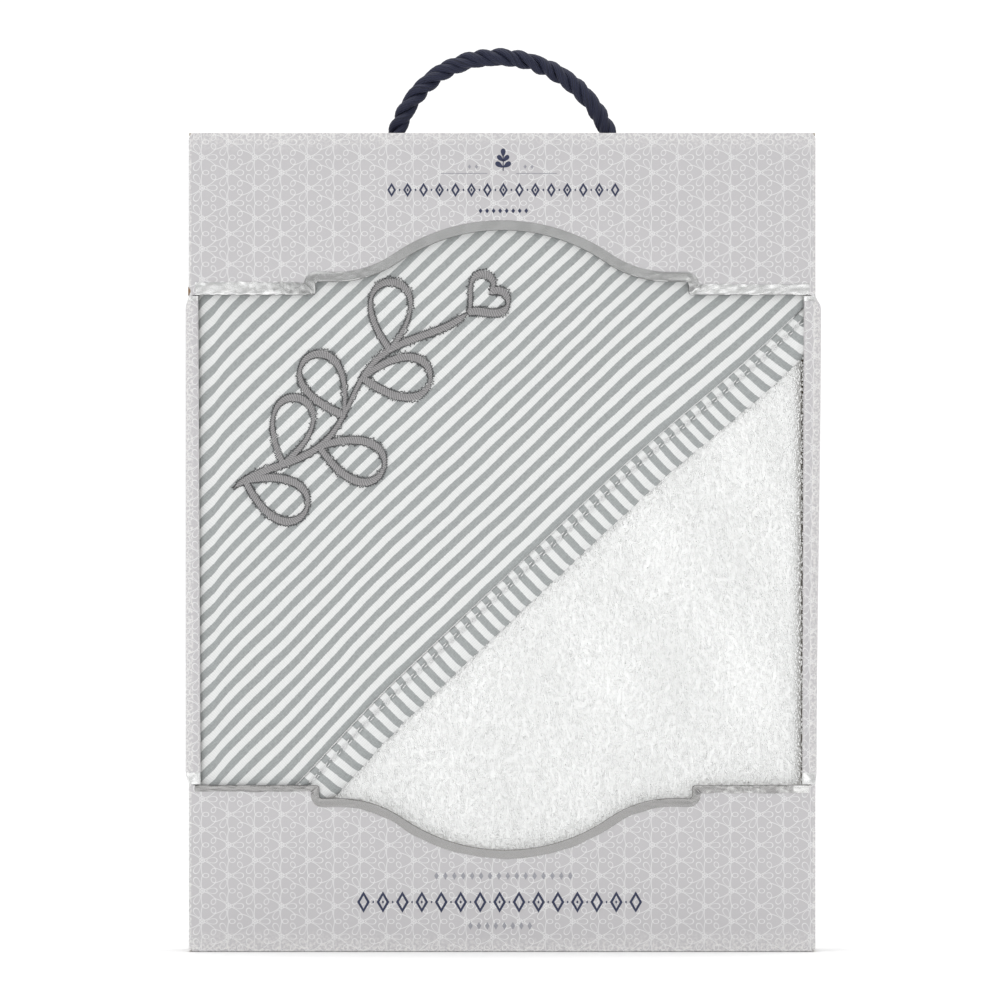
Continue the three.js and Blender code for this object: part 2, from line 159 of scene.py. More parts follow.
@dataclass
class Patch:
    """Points, faces and print coordinates that become one mesh."""

    points: Array
    faces: list
    uv: Array
    wear: Array | None = None

    @staticmethod
    def grid(points: Array, uv: Array, wear: Array | None = None, wrap: bool = False) -> "Patch":
        """A patch from a grid of points.

        Args:
            points: rows x columns x 3.
            uv: rows x columns x 2, in millimetres.
            wear: rows x columns, how rubbed each point is, or on foil how bright its painted highlight is.
            wrap: whether the last column joins the first.

        Returns:
            The patch.
        """
        rows, columns = points.shape[:2]
        faces = grid_faces(rows, columns, wrap=wrap).tolist()
        rubbed = None if wear is None else wear.reshape(-1)
        return Patch(points.reshape(-1, 3), faces, uv.reshape(-1, 2), rubbed)

    @staticmethod
    def joined(patches: list["Patch"]) -> "Patch":
        """Several patches as one.

        Args:
            patches: the patches.

        Returns:
            All their points and faces.
        """
        faces: list = []
        count = 0
        for p in patches:
            faces += [[i + count for i in f] for f in p.faces]
            count += len(p.points)
        wear = [np.zeros(len(p.points)) if p.wear is None else p.wear for p in patches]
        return Patch(
            np.concatenate([p.points for p in patches]),
            faces,
            np.concatenate([p.uv for p in patches]),
            np.concatenate(wear),
        )


def make_object(name: str, patch: Patch, materials: list, smooth: bool = True, weld: bool = False) -> Object:
    """A mesh object from a patch.

    Args:
        name: the piece's name.
        patch: its shape, in millimetres.
        materials: its materials.
        smooth: whether it is shaded smooth.
        weld: whether points at the same place become one, with the faces turned outwards.

    Returns:
        The object, in metres.
    """
    mesh = bpy.data.meshes.new(name)
    mesh.from_pydata((patch.points * MM).tolist(), [], patch.faces)
    index = np.zeros(len(mesh.loops), np.int32)
    mesh.loops.foreach_get("vertex_index", index)
    layer = mesh.uv_layers.new(name="print")
    layer.data.foreach_set("uv", patch.uv[index].astype(np.float32).ravel())
    # The attribute holds real rubbing on board and painted highlight and shade on foil.
    if patch.wear is not None:
        wear_and_shine_layer = mesh.attributes.new("wear", "FLOAT", "POINT")
        wear_and_shine_layer.data.foreach_set("value", patch.wear.astype(np.float32))
    obj = bpy.data.objects.new(name, mesh)
    bpy.context.scene.collection.objects.link(obj)
    for m in materials:
        mesh.materials.append(m)
    if weld:
        b = bmesh.new()
        b.from_mesh(mesh)
        bmesh.ops.remove_doubles(b, verts=b.verts, dist=0.004 * MM)
        bmesh.ops.recalc_face_normals(b, faces=b.faces)
        b.to_mesh(mesh)
        b.free()
    mesh.polygons.foreach_set("use_smooth", np.full(len(mesh.polygons), smooth))
    mesh.update()
    return obj


def flip_towards(obj: Object, wanted: tuple[float, float, float]) -> None:
    """Turns all faces over if most of them look away from a direction.

    Args:
        obj: the piece.
        wanted: the direction that the outside looks in.
    """
    total = sum((p.normal * p.area for p in obj.data.polygons), Vector())
    if total.dot(Vector(wanted)) < 0:
        obj.data.flip_normals()


def settle(obj: Object, sharp: float | None = None) -> Object:
    """Turns a piece's modifiers into its own mesh.

    Args:
        obj: the piece.
        sharp: the angle in degrees over which an edge is shaded sharp, if any.

    Returns:
        The piece.
    """
    bpy.context.view_layer.update()
    done = bpy.data.meshes.new_from_object(obj.evaluated_get(bpy.context.evaluated_depsgraph_get()))
    obj.modifiers.clear()
    obj.data = done
    if sharp is not None:
        done.set_sharp_from_angle(angle=radians(sharp))
    return obj


def thicken(obj: Object, thickness: float, sharp: float = 40, inner: int = 0, centre: bool = False) -> Object:
    """Gives a sheet its thickness.

    Args:
        obj: the sheet.
        thickness: in millimetres, away from its outer face.
        sharp: the angle in degrees over which an edge is shaded sharp.
        inner: how many materials further on the back and the rim are.
        centre: whether half of it is on each side of the sheet.

    Returns:
        The piece.
    """
    solid = obj.modifiers.new("thickness", "SOLIDIFY")
    solid.thickness = thickness * MM
    solid.offset = 0 if centre else -1
    solid.material_offset = inner
    solid.material_offset_rim = inner
    return settle(obj, sharp)


def seat(obj: Object, body: Body, stands_for: tuple[str, ...] = ()) -> Object:
    """Puts a finished piece on its body.

    Args:
        obj: the piece.
        body: the body it rides on.
        stands_for: the CAD nodes it replaces.

    Returns:
        The piece.
    """
    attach(obj, body.value)
    if stands_for:
        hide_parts(*stands_for)
    log.info("%s: %d faces, on %s", obj.name, len(obj.data.polygons), body.value)
    return obj


def hinge_fabric(obj: Object, ends: tuple[Body, Body]) -> Object:
    """Bakes a piece's placement into its mesh and logs the two bodies it lies between.

    Args:
        obj: the piece.
        ends: the two bodies.

    Returns:
        The piece.
    """
    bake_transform(obj)
    names = (ends[0].value, ends[1].value)
    log.info("%s: %d faces, bends from %s to %s", obj.name, len(obj.data.polygons), *names)
    return obj


def many_tubes(paths: Array, flat: Array, radii: Array, sides: int) -> Patch:
    """Many short tubes, each along a path that lies in a plane.

    Args:
        paths: tubes x points x 3.
        flat: tubes x 3, the normal of each path's plane.
        radii: tubes x points.
        sides: sides of the tubes.

    Returns:
        One patch with all of them, closed at their ends.
    """
    tubes, count = paths.shape[:2]
    along = np.gradient(paths, axis=1)
    along /= np.linalg.norm(along, axis=2, keepdims=True)
    up = np.broadcast_to(flat[:, None, :], paths.shape)
    across = np.cross(along, up)
    across /= np.linalg.norm(across, axis=2, keepdims=True)
    angles = np.arange(sides) * 2 * pi / sides
    ring = across[:, :, None] * np.cos(angles)[:, None] + up[:, :, None] * np.sin(angles)[:, None]
    points = paths[:, :, None] + ring * radii[:, :, None, None]
    one = grid_faces(count, sides, wrap=True)
    faces = (one[None] + (np.arange(tubes) * count * sides)[:, None, None]).reshape(-1, 4).tolist()
    first = np.arange(sides)[::-1] + (np.arange(tubes) * count * sides)[:, None]
    last = np.arange(sides) + ((np.arange(tubes) + 1) * count * sides - sides)[:, None]
    faces += first.tolist() + last.tolist()
    spans = np.linalg.norm(np.diff(paths, axis=1), axis=2)
    length = np.concatenate([np.zeros((tubes, 1)), np.cumsum(spans, axis=1)], 1)
    uv = np.zeros((tubes, count, sides, 2))
    uv[..., 0] = np.arange(sides) * 0.3
    uv[..., 1] = length[:, :, None]
    return Patch(points.reshape(-1, 3), faces, uv.reshape(-1, 2))


# ---- finishes


class Nodes:
    """A material's nodes, made by short calls that give sockets back."""

    def __init__(self, name: str) -> None:
        """Starts a material.

        Args:
            name: the material's name.
        """
        self.material = bpy.data.materials.new(name)
        self.material.use_nodes = True
        self.tree = self.material.node_tree
        self.shader = self.tree.nodes["Principled BSDF"]

    def node(self, kind: str, values: dict, **settings: object) -> bpy.types.Node:
        """Adds a node.

        Args:
            kind: its type.
            values: what goes into its inputs, by number or name.
            settings: its own settings.

        Returns:
            The node.
        """
        made = self.tree.nodes.new(kind)
        for key, value in settings.items():
            setattr(made, key, value)
        for key, value in values.items():
            self.put(made.inputs[key], value)
        return made

    def put(self, socket: Socket, value: Value) -> None:
        """Links a socket or sets its value.

        Args:
            socket: the input.
            value: a number, a colour or another socket.
        """
        if isinstance(value, bpy.types.NodeSocket):
            self.tree.links.new(value, socket)
        elif isinstance(value, tuple) and len(value) == 3 and socket.type == "RGBA":
            socket.default_value = (*value, 1)
        else:
            socket.default_value = value

    def math(self, operation: str, a: Value, b: Value = 0.0, c: Value = 0.0) -> Socket:
        """What the Math node's operation makes of up to three values."""
        return self.node("ShaderNodeMath", {0: a, 1: b, 2: c}, operation=operation).outputs[0]

    def plus(self, a: Value, b: Value) -> Socket:
        """The sum of two values."""
        return self.math("ADD", a, b)

    def minus(self, a: Value, b: Value) -> Socket:
        """The first value less the second."""
        return self.math("SUBTRACT", a, b)

    def times(self, a: Value, b: Value) -> Socket:
        """The product of two values."""
        return self.math("MULTIPLY", a, b)

    def scaled(self, a: Value, by: Value, more: Value) -> Socket:
        """The product of two values, plus a third."""
        return self.math("MULTIPLY_ADD", a, by, more)

    def rise(self, value: Value, low: float, high: float, bottom: float = 0.0, top: float = 1.0) -> Socket:
        """A smooth rise from bottom to top.

        Args:
            value: what it follows.
            low: where it starts.
            high: where it ends.
            bottom: its first value.
            top: its last value.

        Returns:
            The result.
        """
        made = self.node("ShaderNodeMapRange", {0: value, 1: low, 2: high, 3: bottom, 4: top})
        made.interpolation_type = "SMOOTHSTEP"
        return made.outputs[0]

    def print_place(self) -> Socket:
        """The place on the flat sheet, in millimetres."""
        return self.node("ShaderNodeUVMap", {}, uv_map="print").outputs[0]

    def object_place(self) -> Socket:
        """The place in the part, in millimetres."""
        place = self.node("ShaderNodeTexCoord", {}).outputs["Object"]
        return self.node("ShaderNodeVectorMath", {0: place, 3: 1000.0}, operation="SCALE").outputs[0]

    def stretched(self, place: Socket, by: tuple) -> Socket:
        """A place with each of its numbers multiplied by its own amount."""
        return self.node("ShaderNodeVectorMath", {0: place, 1: by}, operation="MULTIPLY").outputs[0]

    def parts(self, vector: Socket) -> tuple[Socket, Socket, Socket]:
        """The three numbers of a vector."""
        made = self.node("ShaderNodeSeparateXYZ", {0: vector})
        return made.outputs[0], made.outputs[1], made.outputs[2]

    def noise(self, place: Socket, size: float, detail: float = 2.0, rough: float = 0.5) -> Socket:
        """Noise from 0 to 1, with grains of this size in millimetres, its finer layers and their strength."""
        values = {"Vector": place, "Scale": 1 / size, "Detail": detail, "Roughness": rough}
        return self.node("ShaderNodeTexNoise", values).outputs[0]

    def blend(self, share: Value, a: Value, b: Value) -> Socket:
        """A mix of two colours.

        Args:
            share: how much of the second.
            a: first colour.
            b: second colour.

        Returns:
            The colour.
        """
        made = self.node("ShaderNodeMix", {}, data_type="RGBA")
        self.put(made.inputs[0], share)
        self.put(made.inputs[6], a)
        self.put(made.inputs[7], b)
        return made.outputs[2]

    def shade(self, colour: Value, amount: Value) -> Socket:
        """A colour made lighter or darker.

        Args:
            colour: the colour.
            amount: what it is multiplied by.

        Returns:
            The colour.
        """
        made = self.node("ShaderNodeVectorMath", {3: amount}, operation="SCALE")
        if isinstance(colour, tuple):
            made.inputs[0].default_value = colour
        else:
            self.put(made.inputs[0], colour)
        return made.outputs[0]

    def bump(self, height: Socket, distance: float, strength: float = 1.0) -> None:
        """Gives the surface a relief from heights of 0 to 1, this many millimetres deep."""
        values = {"Height": height, "Distance": distance * MM, "Strength": strength}
        made = self.node("ShaderNodeBump", values)
        self.tree.links.new(made.outputs[0], self.shader.inputs["Normal"])

    def surface(self, colour: Value, roughness: Value, **fixed: float) -> Material:
        """Finishes the material.

        Args:
            colour: its colour.
            roughness: its roughness.
            fixed: further values of the shader, with _ for spaces.

        Returns:
            The material.
        """
        self.put(self.shader.inputs["Base Color"], colour)
        self.put(self.shader.inputs["Roughness"], roughness)
        for key, value in fixed.items():
            self.put(self.shader.inputs[key.replace("_", " ").title().replace("Ior", "IOR")], value)
        return self.material


@dataclass(frozen=True)
class PrintedBoard:
    """Coated board with a print of white line flowers."""

    ground: tuple = (0.556, 0.543, 0.556)
    line: tuple = (0.79, 0.79, 0.79)
    up: float = 11.7
    line_width: float = 0.25
    side_bow: float = 0.45
    loop_place: float = 1.95
    loop_half: tuple = (1.12, 0.85)
    petal_place: float = 3.75
    petal_half: tuple = (2.0, 1.05)
    heart_radius: float = 0.95

    def flower(self, n: Nodes, place: Socket) -> Socket:
        """The print's lines: flowers of three petals, joined by curved sides with looped middles.

        Args:
            n: the material's nodes.
            place: the place on the sheet.

        Returns:
            1 on a line and 0 off it.
        """
        reach = self.up / sqrt(3)
        u, w = self.folded(n, place)
        side = n.plus(n.times(u, 0.5), n.times(w, 0.866))
        along = n.minus(n.times(u, 0.866), n.times(w, 0.5))
        bow = n.times(n.math("SINE", n.times(along, 0.54)), self.side_bow)
        sides = n.minus(n.minus(side, bow), reach / 2 - 0.1)
        loops = self.oval(n, n.minus(side, self.loop_place), along, *self.loop_half)
        edge = n.plus(n.times(u, 0.866), n.times(w, 0.5))
        edge = n.minus(self.up / 2, edge)
        out = n.minus(n.plus(n.times(w, 0.866), reach / 2), n.times(u, 0.5))
        taper = n.scaled(out, 0.16, 0.35)
        petals = self.oval(n, n.minus(out, self.petal_place), n.math("DIVIDE", edge, taper), *self.petal_half)
        hearts = self.oval(n, n.minus(u, reach), w, self.heart_radius, self.heart_radius)
        total = None
        for away in (sides, loops, petals, hearts):
            line = n.rise(n.math("ABSOLUTE", away), self.line_width * 0.3, self.line_width * 0.75, 1.0, 0.0)
            total = line if total is None else n.math("MAXIMUM", total, line)
        return total

    def folded(self, n: Nodes, place: Socket) -> tuple[Socket, Socket]:
        """Folds the sheet onto one sixth of the print's repeat, a triangle between three flowers.

        Args:
            n: the material's nodes.
            place: the place on the sheet.

        Returns:
            The distance from the triangle's middle towards the nearest flower, and across that.
        """
        x, y, _ = n.parts(place)
        best = None
        for shift in (0.0, 0.5):
            local = []
            for value, repeat in ((x, self.up * sqrt(3)), (y, self.up)):
                share = n.math("FRACT", n.plus(n.math("DIVIDE", value, repeat), shift))
                local.append(n.times(n.minus(share, 0.5), repeat))
            square = n.plus(n.times(local[0], local[0]), n.times(local[1], local[1]))
            found = (*local, n.math("SQRT", square))
            if best is None:
                best = found
                continue
            nearer = n.math("LESS_THAN", found[2], best[2])
            keep = n.minus(1.0, nearer)
            pairs = zip(best, found)
            best = [n.plus(n.times(a, keep), n.times(b, nearer)) for a, b in pairs]
        third = 2 * pi / 3
        turn = n.math("DIVIDE", n.math("ARCTAN2", best[1], best[0]), third)
        share = n.minus(n.math("FRACT", n.plus(turn, 0.5)), 0.5)
        angle = n.times(n.math("ABSOLUTE", share), third)
        return n.times(best[2], n.math("COSINE", angle)), n.times(best[2], n.math("SINE", angle))

    def oval(self, n: Nodes, a: Socket, b: Socket, half_a: float, half_b: float) -> Socket:
        """Roughly the distance from an oval's line.

        Args:
            n: the material's nodes.
            a: distance from its middle.
            b: distance from its middle, across a.
            half_a: half its size along a.
            half_b: half its size along b.

        Returns:
            The distance in millimetres, negative inside.
        """
        ratio_a, ratio_b = n.math("DIVIDE", a, half_a), n.math("DIVIDE", b, half_b)
        square = n.plus(n.times(ratio_a, ratio_a), n.times(ratio_b, ratio_b))
        return n.times(n.minus(n.math("SQRT", square), 1.0), (half_a + half_b) / 2)

    def material(self) -> Material:
        """The material, rubbed lighter along its creases.

        Returns:
            The material.
        """
        n = Nodes("printed_board")
        place = n.print_place()
        lines = self.flower(n, place)
        fibre = n.noise(place, 0.5, 3.0, 0.6)
        cloud = n.noise(place, 30.0, 2.0)
        tone = n.plus(n.times(fibre, 0.06), n.times(cloud, 0.05))
        ground = n.shade(self.ground, n.plus(tone, 0.945))
        cover = n.rise(n.noise(place, 0.9, 1.0), 0.2, 0.5, 0.7, 1.0)
        printed = n.blend(n.times(lines, cover), ground, self.line)
        wear = n.node("ShaderNodeAttribute", {}, attribute_name="wear").outputs["Fac"]
        rubbed = n.times(wear, n.rise(n.noise(place, 1.1, 4.0, 0.7), 0.42, 0.62))
        colour = n.blend(rubbed, printed, (0.84, 0.83, 0.81))
        n.bump(n.plus(n.times(fibre, 0.6), n.times(lines, 0.15)), 0.03, 0.35)
        rough = n.rise(n.noise(place, 4.0, 3.0), 0.3, 0.7, 0.42, 0.56)
        return n.surface(colour, rough, coat_weight=0.12, coat_roughness=0.35)


@dataclass(frozen=True)
class RawBoard:
    """The unprinted side of recycled board, with flecks of fibre."""

    name: str = "raw_board"
    ground: tuple = (0.5, 0.45, 0.385)
    fleck: tuple = (0.3, 0.25, 0.2)

    def material(self) -> Material:
        """The material.

        Returns:
            The material.
        """
        n = Nodes(self.name)
        place = n.object_place()
        fibre = n.noise(n.stretched(place, (1.0, 0.3, 0.25)), 0.4, 4.0, 0.65)
        fleck = n.rise(n.noise(place, 0.8, 2.0), 0.66, 0.76)
        ground = n.shade(self.ground, n.rise(fibre, 0.2, 0.8, 0.86, 1.1))
        n.bump(fibre, 0.06, 0.5)
        return n.surface(n.blend(n.times(fleck, 0.6), ground, self.fleck), 0.85)


@dataclass(frozen=True)
class Foil:
    """Satin silver foil, hot-stamped, with painted highlights and a painted dark line at its cut edge."""

    name: str = "silver_foil"
    smooth: tuple = (0.57, 0.575, 0.57)
    bright: tuple = (0.97, 0.975, 0.97)

    def material(self) -> Material:
        """The material.

        Returns:
            The material.
        """
        n = Nodes(self.name)
        place = n.print_place()
        creases = n.noise(place, 1.1, 5.0, 0.65)
        # The wear-and-shine attribute: on foil it sets the crinkle bumps' strength and the painted highlight
        # and shade.
        crumple = n.node("ShaderNodeAttribute", {}, attribute_name="wear").outputs["Fac"]
        # Patches of the painted highlight colour, standing in for reflections where the foil is crumpled.
        highlight_patches = n.rise(n.scaled(n.noise(place, 2.4, 4.0, 0.6), 1.1, n.minus(crumple, 0.55)), 0.3, 0.75)
        colour = n.blend(n.times(highlight_patches, n.rise(crumple, 0.0, 0.35)), self.smooth, self.bright)
        relief = n.times(creases, n.scaled(crumple, 0.8, 0.03))
        n.bump(relief, 0.07, 0.5)
        # Painted shade: values below 0 darken the colour, a thin dark line along the cut edge.
        colour = n.shade(colour, n.rise(crumple, -1.0, 0.0, 0.22, 1.0))
        return n.surface(colour, n.rise(n.noise(place, 6.0, 2.0), 0.3, 0.7, 0.2, 0.27), metallic=1.0)


@dataclass(frozen=True)
class Yarn:
    """Twisted or laid yarn: rope strands, embroidery and sewing threads."""

    name: str
    dark: tuple
    light: tuple
    threads: float = 2.6
    lean: float = 1.4
    depth: float = 0.12
    gloss: float = 0.55
    sheen: float = 0.25

    def material(self) -> Material:
        """The material, whose fine threads follow the sheet's own coordinates, with painted shade in their
        grooves.

        Returns:
            The material.
        """
        n = Nodes(self.name)
        place = n.print_place()
        u, v, _ = n.parts(place)
        drift = n.times(n.noise(place, 2.2, 2.0), 2.4)
        turn = n.plus(n.plus(n.times(u, 2 * pi * self.threads), n.times(v, self.lean)), drift)
        thread = n.scaled(n.math("SINE", turn), 0.5, 0.5)
        grain = n.noise(place, 0.5, 3.0, 0.6)
        share = n.plus(n.times(thread, 0.6), n.times(grain, 0.4))
        n.bump(share, self.depth, 0.8)
        # The colour follows the bump: painted shade in the grooves between threads, plus the yarn's real
        # grain.
        colour = n.blend(share, self.dark, self.light)
        return n.surface(colour, self.gloss, sheen_weight=self.sheen, sheen_roughness=0.4)


@dataclass(frozen=True)
class StripedJersey:
    """Fine cotton jersey with yarn-dyed stripes across the sheet's second coordinate."""

    name: str = "striped_jersey"
    grey: tuple = (0.375, 0.395, 0.395)
    white: tuple = (0.83, 0.84, 0.835)
    pitch: float = 5.5
    stitch: float = 0.82
    course: float = 0.62

    def material(self) -> Material:
        """The material.

        Returns:
            The material.
        """
        n = Nodes(self.name)
        place = n.print_place()
        u, v, _ = n.parts(place)
        wander = n.times(n.minus(n.noise(place, 14.0, 2.0), 0.5), 0.8)
        fuzz = n.times(n.minus(n.noise(place, 0.55, 2.0), 0.5), 0.5)
        across = n.plus(n.plus(v, wander), fuzz)
        share = n.math("FRACT", n.math("DIVIDE", across, self.pitch))
        edge = n.math("ABSOLUTE", n.minus(share, 0.25))
        edge = n.math("MINIMUM", edge, n.math("ABSOLUTE", n.minus(share, 1.25)))
        grey = n.rise(edge, 0.225, 0.275, 1.0, 0.0)
        wales = n.scaled(n.math("SINE", n.times(u, 2 * pi / self.stitch)), 0.5, 0.5)
        slant = n.plus(n.times(v, 2 * pi / self.course), n.times(wales, 2.2))
        loops = n.scaled(n.math("SINE", slant), 0.5, 0.5)
        knit = n.plus(n.times(wales, 0.55), n.times(loops, 0.45))
        slub = n.noise(n.stretched(place, (0.9, 2.6, 1.0)), 1.3, 3.0, 0.7)
        flecks = n.times(n.minus(slub, 0.5), n.rise(grey, 0.0, 1.0, 0.12, 0.85))
        shade = n.plus(n.plus(0.97, n.times(n.minus(knit, 0.5), 0.13)), flecks)
        colour = n.shade(n.blend(grey, self.white, self.grey), shade)
        n.bump(n.plus(knit, n.times(slub, 0.5)), 0.12, 0.5)
        return n.surface(colour, 0.82, sheen_weight=0.2, sheen_roughness=0.5)


@dataclass(frozen=True)
class Terry:
    """White cotton terry, with a faint painted glow that brightens it beyond its lighting."""

    name: str = "terry"
    white: tuple = (0.965, 0.97, 0.965)
    painted_glow: float = 0.095

    def material(self) -> Material:
        """The material.

        Returns:
            The material.
        """
        n = Nodes(self.name)
        place = n.object_place()
        tuft = n.noise(n.stretched(place, (1.0, 1.0, 0.45)), 0.5, 4.0, 0.6)
        n.bump(tuft, 0.3, 0.5)
        # Painted light: a faint white glow from the pile itself, though it is no lamp.
        self_lit = {"emission_strength": self.painted_glow}
        n.put(n.shader.inputs["Emission Color"], self.white)
        tone = n.rise(tuft, 0.25, 0.75, 0.96, 1.0)
        return n.surface(n.shade(self.white, tone), 0.95, sheen_weight=0.3, sheen_roughness=0.5, **self_lit)


@dataclass(frozen=True)
class Ink:
    """A printed ink, a little uneven where it lies on the board's fibres."""

    name: str
    tint: tuple

    def material(self) -> Material:
        """The material.

        Returns:
            The material.
        """
        n = Nodes(self.name)
        place = n.object_place()
        speck = n.noise(place, 0.35, 3.0, 0.6)
        n.bump(speck, 0.02, 0.3)
        return n.surface(n.shade(self.tint, n.rise(speck, 0.2, 0.8, 0.85, 1.35)), 0.5)


@dataclass(frozen=True)
class Ribbon:
    """Plain woven label ribbon."""

    white: tuple = (0.88, 0.88, 0.86)

    def material(self) -> Material:
        """The material.

        Returns:
            The material.
        """
        n = Nodes("label_ribbon")
        place = n.print_place()
        u, v, _ = n.parts(place)
        weave = n.times(n.math("SINE", n.times(u, 14.0)), n.math("SINE", n.times(v, 14.0)))
        n.bump(weave, 0.05, 0.6)
        # The colour follows the weave's bump: painted shade in its hollows.
        return n.surface(n.shade(self.white, n.scaled(weave, 0.05, 0.95)), 0.6, sheen_weight=0.3)


@dataclass(frozen=True)
class StudioPaper:
    """The pale sheet that the carton stands on."""

    white: tuple = (0.9, 0.9, 0.9)

    def material(self) -> Material:
        """The material.

        Returns:
            The material.
        """
        n = Nodes("studio_paper")
        grain = n.noise(n.object_place(), 3.0, 2.0)
        return n.surface(n.shade(self.white, n.rise(grain, 0.3, 0.7, 0.99, 1.01)), 0.9)


class Finishes:
    """Every finish of the part, made once."""

    def __init__(self) -> None:
        """Makes the materials."""
        self.printed = PrintedBoard().material()
        self.raw = RawBoard().material()
        self.board = [self.printed, self.raw]
        self.torn = RawBoard("torn_fibre", (0.26, 0.17, 0.1), (0.12, 0.07, 0.04)).material()
        self.foil = Foil().material()
        # The lower trim's foil: the same foil painted darker, shade standing in for its duller reflection.
        self.shaded_foil = Foil("shaded_silver_foil", (0.44, 0.435, 0.43), (0.9, 0.9, 0.89)).material()
        self.rope = Yarn(
            "navy_rope", (0.0025, 0.0035, 0.012), (0.017, 0.022, 0.064),
            threads=2.1, lean=0.35, depth=0.16, gloss=0.68, sheen=0.05,
        ).material()
        self.satin = Yarn(
            "grey_satin", (0.14, 0.136, 0.138), (0.47, 0.46, 0.465),
            threads=0.4, lean=7.0, depth=0.12, gloss=0.42, sheen=0.2,
        ).material()
        self.outline = Yarn(
            "dark_outline", (0.03, 0.03, 0.032), (0.13, 0.13, 0.135),
            threads=0.6, lean=5.0, depth=0.1, gloss=0.6, sheen=0.2,
        ).material()
        self.sewing = Yarn(
            "white_thread", (0.6, 0.6, 0.6), (0.95, 0.95, 0.95),
            threads=0.6, lean=6.0, depth=0.06, gloss=0.5, sheen=0.3,
        ).material()
        self.jersey = StripedJersey().material()
        self.terry = Terry().material()
        self.navy = Ink("navy_ink", (0.024, 0.03, 0.072)).material()
        self.grey = Ink("grey_ink", (0.3, 0.3, 0.33)).material()
        self.ribbon = Ribbon().material()


# ---- carton


@dataclass
class WindowShape:
    """The outline of the window: straight ends, a step, and an ogee hump in the middle."""

    step_x: float = 71.4
    step_rise: float = 5.0
    step_fillet: float = 1.2
    least_fillet: float = 0.2
    hump_half_width: float = 64.0
    hump_height: float = 19.8
    hump_radius: float = 70.0
    bottom: float = 63.8
    top: float = 251.5
    half_end: float = 118.8
    lower_shift: float = 1.4
    straight_steps: int = 34

    def half(self, offset: float) -> Array:
        """Half the outline, from the straight end to the middle.

        Args:
            offset: how far it is moved out of the window.

        Returns:
            Distance from the middle and rise above the straight edge, for each point.
        """
        width, radius = self.hump_half_width, self.hump_radius
        flank = (width**2 + self.hump_height**2) / (2 * self.hump_height) - radius
        crown = self.step_rise + self.hump_height - radius
        tangent = atan2(self.step_rise + flank - crown, width)
        foot = max(self.step_fillet - offset, self.least_fillet)
        head = self.step_fillet + offset
        x, rise = self.step_x + offset, self.step_rise + offset
        places = np.linspace(self.half_end, x + foot, self.straight_steps, endpoint=False)
        straight = [(t, offset) for t in places]
        return np.array(
            straight
            + arc(x + foot, offset + foot, foot, -pi / 2, -pi, 5)
            + arc(x - head, rise - head, head, 0, pi / 2, 6)
            + arc(width, self.step_rise + flank, flank - offset, -pi / 2, tangent - pi, 26)
            + arc(0, crown, radius + offset, tangent, pi / 2, 40)[1:]
        )

    def edge(self, offset: float, upper: bool) -> Array:
        """The whole upper or lower edge, from left to right.

        Args:
            offset: how far it is moved out of the window.
            upper: whether it is the upper edge.

        Returns:
            X and Z of each point.
        """
        half = self.half(offset)
        left = np.stack([-half[:, 0], half[:, 1]], 1)
        whole = np.concatenate([left, half[::-1][1:]])
        level = self.top if upper else self.bottom
        whole[:, 1] = level + whole[:, 1] * (1 if upper else -1)
        if not upper:
            whole[:, 0] += self.lower_shift * smoothstep(self.half_end - np.abs(whole[:, 0]), 0.0, 30.0)
        return whole


